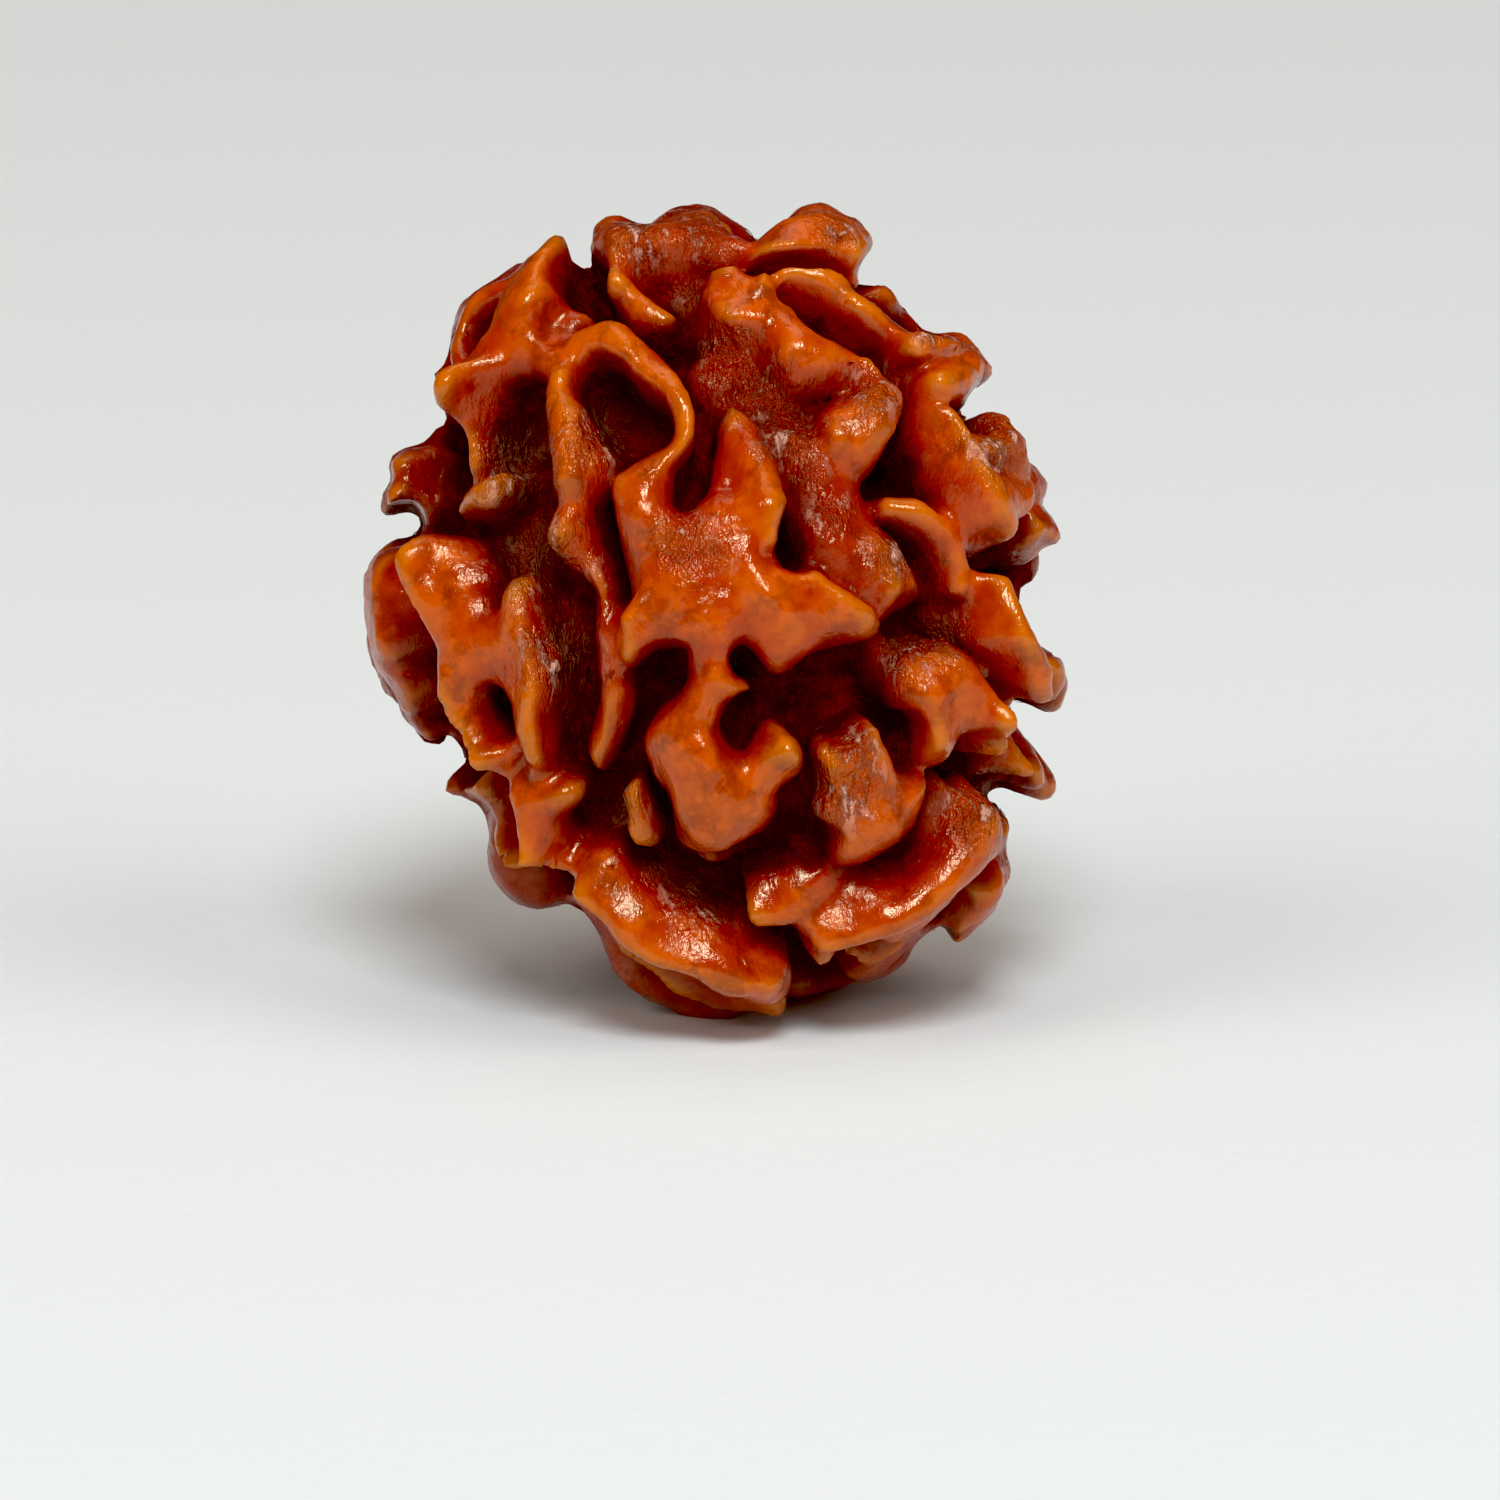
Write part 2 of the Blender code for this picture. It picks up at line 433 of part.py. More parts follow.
# Extra lift towards the edge of the plan, where the lobes are seen from the side.
def rim_rise(points):
    along, aside, _ = core_frame(points)
    reach = np.sqrt((along / (CORE_LONG_RADIUS + 1.0)) ** 2 + (aside / (CORE_ROUND_RADIUS + 1.0)) ** 2)
    share = np.clip((reach - RIM_START) / (1.0 - RIM_START), 0.0, 1.0)
    return RIM_RISE * share * share * (3.0 - 2.0 * share)


# Outward direction of the core under each point.
def core_normal(points):
    lean = math.radians(CORE_LEAN_DEG)
    along, aside, out = core_frame(points)
    along = along / CORE_LONG_RADIUS**2
    aside, out = aside / CORE_ROUND_RADIUS**2, out / CORE_ROUND_RADIUS**2
    across = -along * math.sin(lean) + aside * math.cos(lean)
    up = along * math.cos(lean) + aside * math.sin(lean)
    normal = np.stack((across, up, out), axis=-1)
    return normal / np.maximum(np.linalg.norm(normal, axis=-1, keepdims=True), 1e-9)


# Points brought straight down, or up, to a height over the core.
def to_height(points, height=0.0, rounds=2):
    for _ in range(rounds):
        points = points - core_normal(points) * np.asarray(core_height(points) - height)[..., None]
    return points


# Plan points raised to the near surface of the core grown by a lift.
def raise_points(flat, lift):
    points = np.concatenate((flat, np.zeros((len(flat), 1))), axis=1)
    lift = np.asarray(lift, dtype=float) + rim_rise(points)
    along, aside, _ = core_frame(points)
    left = 1.0 - (along / (CORE_LONG_RADIUS + lift)) ** 2 - (aside / (CORE_ROUND_RADIUS + lift)) ** 2
    points[:, 2] = (CORE_ROUND_RADIUS + lift) * np.sqrt(np.maximum(left, 0.0))
    return points


# A plan chain as points in space with its heights and half widths; a furrow is seen half way up.
def chain_in_space(chain, sight=None):
    chain = np.array(chain, dtype=float)
    seen = chain[:, 2] if sight is None else np.maximum(chain[:, 2], sight)
    return raise_points(plan_to_mm(chain[:, :2]), seen), chain[:, 2], chain[:, 3]


# A smooth closed curve through the points of an outline.
def round_outline(points, parts=3):
    points = np.asarray(points, dtype=float)
    before, after, second = (np.roll(points, shift, axis=0) for shift in (1, -1, -2))
    curve = []
    for i in range(parts):
        t = i / parts
        curve.append(0.5 * (
            2.0 * points + (after - before) * t
            + (2.0 * before - 5.0 * points + 4.0 * after - second) * t * t
            + (3.0 * points - before - 3.0 * after + second) * t * t * t))
    return np.stack(curve, axis=1).reshape(-1, points.shape[-1])


# Signed distance in a plane to a closed outline, negative inside.
def outline_distance(x, y, outline):
    nearest = np.full(x.shape, 1e9)
    inside = np.zeros(x.shape, dtype=bool)
    for (ax, ay), (bx, by) in zip(outline, np.roll(outline, -1, axis=0)):
        ex, ey = bx - ax, by - ay
        px, py = x - ax, y - ay
        share = np.clip((px * ex + py * ey) / max(ex * ex + ey * ey, 1e-12), 0.0, 1.0)
        nearest = np.minimum(nearest, (px - ex * share) ** 2 + (py - ey * share) ** 2)
        crossing = (ay > y) != (by > y)
        if abs(ey) > 1e-12:
            inside ^= crossing & (x < ax + (y - ay) * ex / ey)
    distance = np.sqrt(nearest)
    return np.where(inside, -distance, distance)


# Distance in space to a chain of points, with the chain's own values carried along it.
def chain_distance(points, chain, carried):
    nearest = np.full(points.shape[:-1], 1e9)
    values = np.zeros(points.shape[:-1] + (carried.shape[1],))
    for i in range(len(chain) - 1):
        edge = chain[i + 1] - chain[i]
        offset = points - chain[i]
        share = np.clip((offset @ edge) / max(edge @ edge, 1e-12), 0.0, 1.0)
        distance = np.linalg.norm(offset - share[..., None] * edge, axis=-1)
        here = carried[i] * (1.0 - share[..., None]) + carried[i + 1] * share[..., None]
        closer = distance - here[..., 0] < nearest
        nearest = np.where(closer, distance - here[..., 0], nearest)
        values = np.where(closer[..., None], here, values)
    return nearest, values


# Two directions square to a normal.
def tangent_frame(normal):
    guide = np.array((0.0, 1.0, 0.0)) if abs(normal[1]) < 0.9 else np.array((1.0, 0.0, 0.0))
    first = np.cross(guide, normal)
    first /= np.linalg.norm(first)
    return first, np.cross(normal, first)


class Relief:
    """The seed as a distance field on a regular grid in plan space."""

    def __init__(self, step):
        reach = (CORE_ROUND_RADIUS + 3.2, CORE_LONG_RADIUS + 3.0, CORE_ROUND_RADIUS + 3.2)
        self.step = step
        self.low = -np.array(reach) - GRID_MARGIN * 0.5
        self.count = np.ceil(2.0 * -self.low / step).astype(int) + 1
        lines = [self.low[i] + step * np.arange(self.count[i]) for i in range(3)]
        self.points = np.stack(np.meshgrid(*lines, indexing="ij"), axis=-1)
        self.flat = self.points[:, :, 0, :2].copy()
        for axis in range(3):
            self.points[..., axis] += WARP_DEPTH * smooth_noise(self.points, WARP_SIZE, 11 + axis)
        self.height = core_height(self.points)
        self.rise = rim_rise(self.points)
        self.ground = to_height(self.points)
        self.field = self.height + VALLEY_DEPTH

    # The part of the grid round some points.
    def window(self, around, margin=GRID_MARGIN):
        low = np.floor((around.min(axis=0) - margin - self.low) / self.step).astype(int)
        high = np.ceil((around.max(axis=0) + margin - self.low) / self.step).astype(int) + 1
        low = np.clip(low, 0, self.count)
        high = np.clip(high, 0, self.count)
        return tuple(slice(a, b) for a, b in zip(low, high))

    def add(self, part, shape, blend=ROOT_BLEND):
        self.field[part] = blend_min(self.field[part], shape, blend)

    # A plate: walls that stand square to the core round an outline, under a top at the lift.
    def add_plate(self, lift, outline):
        crest = raise_points(round_outline(plan_to_mm(outline)), lift)
        foot = to_height(crest)
        part = self.window(np.concatenate((crest, foot)))
        middle = foot.mean(axis=0)
        first, second = tangent_frame(core_normal(middle))
        ground, over = self.ground[part] - middle, self.height[part] - self.rise[part] - lift
        plane = np.stack(((foot - middle) @ first, (foot - middle) @ second), axis=1)
        side = outline_distance(ground @ first, ground @ second, plane)
        side = side - OUTLINE_GROWTH + WALL_FLARE * np.minimum(over, 0.0)
        self.add(part, blend_max(side, over, EDGE_ROUND))

    # The part of the grid a chain reaches, the sideways distance to the chain's curtain there, and
    # the height over the chain's own.
    def curtain(self, crest, lift, width):
        foot = to_height(crest)
        part = self.window(np.concatenate((foot, to_height(crest, TOP_HEIGHT))))
        side, carried = chain_distance(self.ground[part], foot, np.stack((width, lift), axis=1))
        return part, side, self.height[part] - self.rise[part] - carried[..., 1]

    # A ridge: a rounded crest over a wall that widens to its root in the core.
    def add_ridge(self, crest, lift, width):
        part, side, over = self.curtain(crest, lift, width)
        side = side + WALL_FLARE * np.minimum(over, 0.0)
        self.add(part, blend_max(side, over, RIDGE_ROUND))

    # A furrow: a ridge turned inside out, cut down to its own floor.
    def cut_furrow(self, crest, floor, width):
        part, side, over = self.curtain(crest, floor, width)
        cut = blend_max(side, -over, FURROW_ROUND)
        self.field[part] = blend_max(self.field[part], -cut, FURROW_LIP)

    # A rim lobe: an upright slab between two depths of the plan, with its root sunk in the core.
    def add_rim_lobe(self, back, front, outline):
        flat = round_outline(plan_to_mm(outline))
        both = np.concatenate((flat, flat * RIM_ROOT))
        part = self.window(np.array(((*both.min(axis=0), back), (*both.max(axis=0), front))))
        points, height = self.points[part], self.height[part]
        side = np.minimum(
            outline_distance(points[..., 0], points[..., 1], flat),
            outline_distance(points[..., 0], points[..., 1], flat * RIM_ROOT))
        half = (front - back) * 0.5
        away = np.abs(points[..., 2] - (back + front) * 0.5)
        thick = away - half + RIM_TAPER * np.clip(height, 0.0, TOP_HEIGHT)
        self.add(part, blend_max(side + RIM_BULGE * (away / half) ** 2, thick, RIM_ROUND))

    # A pit: a round well whose mouth is seen at the height of the tops about it.
    def sink_pit(self, across, down, mouth_height, radius, depth, stretch_across, stretch_down):
        mouth = raise_points(plan_to_mm(((across, down),)), mouth_height)
        middle = to_height(mouth)[0]
        first, second = tangent_frame(core_normal(middle))
        ends = np.concatenate((to_height(mouth, TOP_HEIGHT), to_height(mouth, -depth)))
        part = self.window(ends, margin=radius * 2.0 + 0.8)
        offset = self.ground[part] - middle
        x = (offset @ first) / stretch_across
        y = (offset @ second) / stretch_down
        wall = np.sqrt(x * x + y * y) - radius
        pit = blend_max(wall, -depth - self.height[part], 0.6)
        self.field[part] = blend_max(self.field[part], -pit, 0.5)


# A furrow of the far face, from pole to pole along a wandering bearing.
def cut_far_furrow(relief, bearing, rng):
    lean = math.radians(CORE_LEAN_DEG)
    drift = rng.uniform(-1.0, 1.0, 8)
    chain = []
    for share, off in zip(np.linspace(0.16, 0.84, 8), drift):
        polar = math.pi * share
        turn = math.radians(bearing + FAR_WANDER_DEG * off)
        along, aside = CORE_LONG_RADIUS * math.cos(polar), CORE_ROUND_RADIUS * math.sin(polar)
        side, out = aside * math.sin(turn), aside * math.cos(turn)
        across = -along * math.sin(lean) + side * math.cos(lean)
        chain.append((across, along * math.cos(lean) + side * math.sin(lean), out))
    relief.cut_furrow(np.array(chain), np.full(8, -0.9), 0.24 + 0.06 * drift)


# The far face and the sides: winding walls where a woven noise is high, hollows where it is low.
def grow_far_face(relief):
    ground, height, out = relief.ground, relief.height, relief.points[..., 2]
    weave = woven_noise(ground, FAR_WEAVE, FAR_SEED)
    weave += FAR_DETAIL * woven_noise(ground, FAR_WEAVE * 0.45, FAR_SEED + 1) + FAR_FILL
    from_wall = -weave * FAR_WEAVE / FAR_SLOPE
    front = out - FAR_FRONT + 0.6 * smooth_noise(ground, 3.0, FAR_SEED + 4)
    lift = FAR_LIFT + 0.4 * smooth_noise(ground, 4.0, FAR_SEED + 2)
    lift += 0.45 * np.clip(weave - FAR_FILL, 0.0, 1.4)
    over = height - relief.rise - lift
    edge = round_outline(plan_to_mm(EDGE))
    within = outline_distance(relief.flat[..., 0], relief.flat[..., 1], edge)[:, :, None]
    walls = blend_max(from_wall + WALL_FLARE * np.minimum(over, 0.0), over, EDGE_ROUND)
    walls = blend_max(walls, within + FAR_INSET + FAR_DOME * out * out, EDGE_ROUND)
    relief.field = blend_min(relief.field, np.maximum(walls, front), ROOT_BLEND)
    hollow = np.maximum(FAR_SHELF - from_wall, -FAR_VALLEY_DEPTH - height)
    relief.field = blend_max(relief.field, -np.maximum(hollow, front + 0.5), FURROW_LIP)
    rng = np.random.default_rng(FAR_SEED + 3)
    for bearing in FAR_FURROWS_DEG:
        cut_far_furrow(relief, bearing, rng)
    for foot in FAR_FEET:
        grow_foot(relief, *foot)


def grow_foot(relief, root, tip, root_width, tip_width):
    ends = np.array((root, tip))
    part = relief.window(ends, margin=root_width + 0.8)
    side, _ = chain_distance(relief.points[part], ends, np.array(((root_width,), (tip_width,))))
    relief.add(part, side)


def sculpt(step):
    relief = Relief(step)
    grow_far_face(relief)
    for lift, outline in PLATES.values():
        relief.add_plate(lift, outline)
    for crest in RIDGES.values():
        relief.add_ridge(*chain_in_space(crest))
    for sight, floor in FURROWS.values():
        relief.cut_furrow(*chain_in_space(floor, sight))
    for pit in PITS:
        relief.sink_pit(*pit)
    for lift, outline in LATE_PLATES.values():
        relief.add_plate(lift, outline)
    for crest in LATE_RIDGES.values():
        relief.add_ridge(*chain_in_space(crest))
    for back, front, outline in RIM_LOBES.values():
        relief.add_rim_lobe(back, front, outline)
    edge = round_outline(plan_to_mm(EDGE))
    within = outline_distance(relief.flat[..., 0], relief.flat[..., 1], edge)[:, :, None]
    relief.field = blend_max(relief.field, np.broadcast_to(within, relief.field.shape), OUTLINE_ROUND)
    keep_one_body(relief.field)
    return relief


# Spread from a start through the allowed grid points, face by face.
def flood(allowed, start):
    reached = np.zeros(allowed.shape, dtype=bool)
    reached[start] = True
    size = 0
    while size != np.count_nonzero(reached):
        size = np.count_nonzero(reached)
        for _ in range(8):
            grown = reached.copy()
            for axis in range(3):
                ahead = [slice(None)] * 3
                behind = [slice(None)] * 3
                ahead[axis], behind[axis] = slice(1, None), slice(None, -1)
                grown[tuple(ahead)] |= reached[tuple(behind)]
                grown[tuple(behind)] |= reached[tuple(ahead)]
            reached = grown & allowed
    return reached


# Closed hollows are filled and loose crumbs are dropped.
def keep_one_body(field):
    air = flood(field > 0.0, (0, 0, 0))
    field[(field > 0.0) & ~air] = -0.05
    middle = tuple(n // 2 for n in field.shape)
    body = flood(field <= 0.0, middle)
    field[(field <= 0.0) & ~body] = 0.05


# Surface of the field by cutting each cell's tetrahedra.
def cut_surface(field, low, step):
    nx, ny, nz = field.shape
    inside = (field <= 0.0).ravel()
    numbers = np.arange(field.size).reshape(field.shape)
    corners = np.stack([
        numbers[i:nx - 1 + i, j:ny - 1 + j, k:nz - 1 + k].ravel()
        for k in range(2) for j in range(2) for i in range(2)
    ], axis=1)
    filled = inside[corners].sum(axis=1)
    corners = corners[(filled > 0) & (filled < 8)]
    triangles = []
    for tetra in TETRAHEDRA:
        ids = corners[:, tetra]
        order = np.argsort(~inside[ids], axis=1, kind="stable")
        ids = np.take_along_axis(ids, order, axis=1)
        full = inside[ids].sum(axis=1)
        for amount, faces in (
            (1, (((0, 1), (0, 2), (0, 3)),)),
            (2, (((0, 2), (0, 3), (1, 3)), ((0, 2), (1, 3), (1, 2)))),
            (3, (((0, 3), (1, 3), (2, 3)),)),
        ):
            chosen = ids[full == amount]
            for face in faces:
                triangles.append(np.stack([chosen[:, pair] for pair in face], axis=1))
    triangles = np.concatenate(triangles)
    inner, outer = triangles[..., 0], triangles[..., 1]
    keys = np.minimum(inner, outer) * field.size + np.maximum(inner, outer)
    unique, first, joined = np.unique(keys.ravel(), return_index=True, return_inverse=True)
    a, b = inner.ravel()[first], outer.ravel()[first]
    values = field.ravel()
    share = np.clip(values[a] / (values[a] - values[b]), 0.08, 0.92)
    position_a = np.stack(np.unravel_index(a, field.shape), axis=1)
    position_b = np.stack(np.unravel_index(b, field.shape), axis=1)
    points = low + step * (position_a * (1.0 - share[:, None]) + position_b * share[:, None])
    faces = joined.reshape(-1, 3)
    p = points[faces]
    normal = np.cross(p[:, 1] - p[:, 0], p[:, 2] - p[:, 0])
    outward = np.stack(np.unravel_index(outer[:, 0], field.shape), axis=1)
    outward = outward - np.stack(np.unravel_index(inner[:, 0], field.shape), axis=1)
    flip = np.einsum("ij,ij->i", normal, outward.astype(float)) < 0.0
    faces[flip] = faces[flip][:, ::-1]
    return points, faces


# From plan space to the world: the plan is seen from a little above level.
def plan_to_world(points):
    tilt = math.radians(PLAN_TILT_DEG)
    across, up, out = points[:, 0], points[:, 1], points[:, 2]
    world_y = up * math.sin(tilt) - out * math.cos(tilt)
    world_z = up * math.cos(tilt) + out * math.sin(tilt) + CENTRE_HEIGHT
    return np.stack((across, world_y, world_z), axis=1)


def make_mesh(name, points, faces):
    mesh = bpy.data.meshes.new(name)
    mesh.vertices.add(len(points))
    mesh.vertices.foreach_set("co", points.ravel())
    mesh.loops.add(faces.size)
    mesh.loops.foreach_set("vertex_index", faces.ravel().astype(np.int32))
    mesh.polygons.add(len(faces))
    mesh.polygons.foreach_set("loop_start", np.arange(0, faces.size, 3, dtype=np.int32))
    mesh.update(calc_edges=True)
    mesh.validate()
    return mesh


def seed_material():
    material = bpy.data.materials.new("seed_stone")
    material.use_nodes = True
    shader = material.node_tree.nodes["Principled BSDF"]
    shader.inputs["Base Color"].default_value = SEED_COLOUR
    shader.inputs["Roughness"].default_value = SEED_ROUGHNESS
    shader.inputs["Metallic"].default_value = 0.0
    return material


def add_modifier(item, kind, name, **settings):
    modifier = item.modifiers.new(name, kind)
    for key, value in settings.items():
        setattr(modifier, key, value)
    return modifier


# The mesh that an object's modifiers give.
def finished_mesh(item):
    graph = bpy.context.evaluated_depsgraph_get()
    return bpy.data.meshes.new_from_object(item.evaluated_get(graph))


def thin_out(mesh, budget):
    item = bpy.data.objects.new("rough_seed", mesh)
    bpy.context.scene.collection.objects.link(item)
    add_modifier(item, "SMOOTH", "ease", factor=0.5, iterations=2)
    add_modifier(item, "DECIMATE", "thin", ratio=budget / len(mesh.polygons))
    thinned = finished_mesh(item)
    bpy.data.objects.remove(item, do_unlink=True)
    return thinned


# A slab under the resting plane, which cuts a small flat on each low lobe that reaches it.
def ground_cutter():
    mesh = bpy.data.meshes.new("ground_cutter")
    body = bmesh.new()
    bmesh.ops.create_cube(body, size=1.0)
    for vertex in body.verts:
        vertex.co = (vertex.co.x * 60 * MM, vertex.co.y * 60 * MM, (vertex.co.z - 0.5) * 10 * MM)
    body.to_mesh(mesh)
    body.free()
    cutter = bpy.data.objects.new("ground_cutter", mesh)
    bpy.context.scene.collection.objects.link(cutter)
    cutter.hide_render = True
    cutter.display_type = "WIRE"
    return cutter


def centre_on_base(mesh):
    points = np.empty(len(mesh.vertices) * 3)
    mesh.vertices.foreach_get("co", points)
    points = points.reshape(-1, 3)
    middle = (points.min(axis=0) + points.max(axis=0)) * 0.5
    points[:, :2] -= middle[:2]
    mesh.vertices.foreach_set("co", points.ravel())
    mesh.update()


def build_seed():
    relief = sculpt(GRID_STEP)
    points, faces = cut_surface(relief.field, relief.low, relief.step)
    mesh = thin_out(make_mesh("rough_seed", plan_to_world(points) * MM, faces), TRIANGLE_BUDGET)
    centre_on_base(mesh)
    mesh.name = "rudraksha_seed"
    seed = bpy.data.objects.new("rudraksha_seed", mesh)
    bpy.context.scene.collection.objects.link(seed)
    mesh.materials.clear()
    mesh.materials.append(seed_material())
    mesh.shade_smooth()
    cutter = ground_cutter()
    add_modifier(seed, "BOOLEAN", "level_feet", operation="DIFFERENCE", solver="EXACT", object=cutter)
    return seed


clear_scene()
build_seed()
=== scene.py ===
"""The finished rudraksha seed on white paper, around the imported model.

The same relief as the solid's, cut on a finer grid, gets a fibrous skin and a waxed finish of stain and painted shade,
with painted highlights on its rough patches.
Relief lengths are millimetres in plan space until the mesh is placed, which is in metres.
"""

import math

import bmesh
import bpy
import numpy as np
from mathutils import Matrix, Vector


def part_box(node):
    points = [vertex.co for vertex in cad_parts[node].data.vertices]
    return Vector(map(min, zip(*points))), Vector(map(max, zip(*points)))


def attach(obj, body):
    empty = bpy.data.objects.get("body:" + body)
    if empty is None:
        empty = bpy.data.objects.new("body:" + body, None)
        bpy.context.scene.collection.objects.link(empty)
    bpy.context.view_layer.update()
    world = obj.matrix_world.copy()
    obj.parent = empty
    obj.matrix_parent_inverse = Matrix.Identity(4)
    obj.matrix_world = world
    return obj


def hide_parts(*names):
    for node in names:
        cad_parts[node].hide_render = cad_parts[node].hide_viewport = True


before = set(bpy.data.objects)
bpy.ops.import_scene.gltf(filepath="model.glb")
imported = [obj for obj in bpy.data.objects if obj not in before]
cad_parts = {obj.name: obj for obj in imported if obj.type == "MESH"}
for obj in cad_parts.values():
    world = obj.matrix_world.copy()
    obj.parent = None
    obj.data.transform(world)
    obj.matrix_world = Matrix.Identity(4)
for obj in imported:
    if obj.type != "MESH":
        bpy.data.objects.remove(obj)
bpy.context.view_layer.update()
seed_low, seed_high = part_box("rudraksha_seed")

MM = 0.001

# The front plan: one plan unit is 0.027 mm, so the seed's 820 units stand 22 mm tall.
PLAN_UNIT = 0.027
PLAN_CENTRE = (714.0, 612.0)
PLAN_TILT_DEG = 12.0

# The egg that all lifts are measured from, the way its long axis leans in the plan, and how far
# the floor of the valleys lies under it.
CORE_LONG_RADIUS = 9.3
CORE_ROUND_RADIUS = 7.55
CORE_LEAN_DEG = 15.0
VALLEY_DEPTH = 0.45
TOP_HEIGHT = 3.2

# Height of the core's centre over the flat on which the seed rests.
CENTRE_HEIGHT = 10.5

# How softly the plates run into the core, and how round their edges are.
ROOT_BLEND = 0.32
EDGE_ROUND = 0.6
OUTLINE_GROWTH = 0.1
RIDGE_ROUND = 0.55
CROWN = 0.4
CROWN_WIDTH = 1.3
FURROW_ROUND = 0.2
FURROW_LIP = 0.25
WALL_FLARE = 0.07
RIM_ROUND = 1.1
RIM_TAPER = 0.2
RIM_ROOT = 0.85
RIM_BULGE = 0.45
RIM_RISE = 0.9
RIM_START = 0.82
WARP_SIZE = 1.5
WARP_DEPTH = 0.14
OUTLINE_ROUND = 0.25

# The mesh.
GRID_MARGIN = 1.3

# Far-face rule.
FAR_SEED = 7
FAR_WEAVE = 3.0
FAR_FILL = 0.35
FAR_DETAIL = 0.4
FAR_SLOPE = 5.2
FAR_SHELF = 0.15
FAR_VALLEY_DEPTH = 1.3
FAR_LIFT = 1.35
FAR_FRONT = 2.6
FAR_INSET = 0.12
FAR_DOME = 0.045
WAVES = 24


# The seed's edge on the front plan, clockwise from the notch at the upper left.
EDGE = (
    (578, 265), (586, 248), (590, 228), (600, 216), (617, 214), (635, 219), (648, 222), (662, 212),
    (680, 205), (700, 204), (716, 207), (738, 220), (750, 231), (760, 236), (775, 225), (792, 211),
    (808, 203), (826, 203), (845, 212), (865, 226), (873, 243), (864, 260), (856, 273), (860, 283),
    (884, 283), (896, 292), (910, 313), (924, 327), (945, 326), (962, 329), (980, 341), (990, 356),
    (997, 372), (987, 387), (967, 400), (985, 402), (999, 409), (1012, 408), (1021, 418),
    (1033, 442), (1044, 472), (1050, 490), (1044, 503), (1056, 518), (1064, 538), (1058, 548),
    (1044, 554), (1046, 574), (1038, 586), (1024, 592), (1020, 602), (1026, 622), (1037, 643),
    (1055, 655), (1065, 668), (1069, 690), (1062, 707), (1050, 710), (1028, 703), (1012, 702),
    (1019, 722), (1032, 738), (1046, 762), (1054, 785), (1048, 798), (1037, 800), (1015, 791),
    (999, 786), (990, 795), (1005, 808), (1014, 828), (1013, 846), (1009, 856), (1015, 866),
    (1012, 884), (1001, 908), (985, 927), (970, 941), (958, 949), (948, 941), (941, 930),
    (925, 943), (915, 958), (903, 970), (875, 984), (845, 990), (800, 1000), (787, 1000),
    (782, 1011), (772, 1014), (757, 1010), (745, 1016), (720, 1021), (690, 1018), (660, 1009),
    (636, 994), (618, 972), (606, 951), (597, 932), (583, 915), (566, 907), (545, 911), (520, 906),
    (500, 892), (488, 870), (483, 845), (485, 820), (478, 806), (462, 799), (448, 796), (443, 787),
    (450, 775), (463, 764), (460, 752), (447, 738), (436, 746), (420, 743), (404, 725), (393, 705),
    (385, 688), (370, 660), (363, 630), (360, 600), (359, 580), (366, 560), (382, 545), (400, 538),
    (412, 533), (417, 526), (412, 515), (402, 512), (386, 516), (379, 509), (381, 493), (387, 478),
    (386, 463), (392, 454), (405, 446), (422, 441), (434, 425), (434, 415), (428, 402), (425, 388),
    (429, 372), (441, 360), (445, 340), (451, 318), (459, 299), (480, 284), (502, 275), (520, 261),
    (538, 243), (545, 231), (556, 226), (566, 232), (572, 250),
)

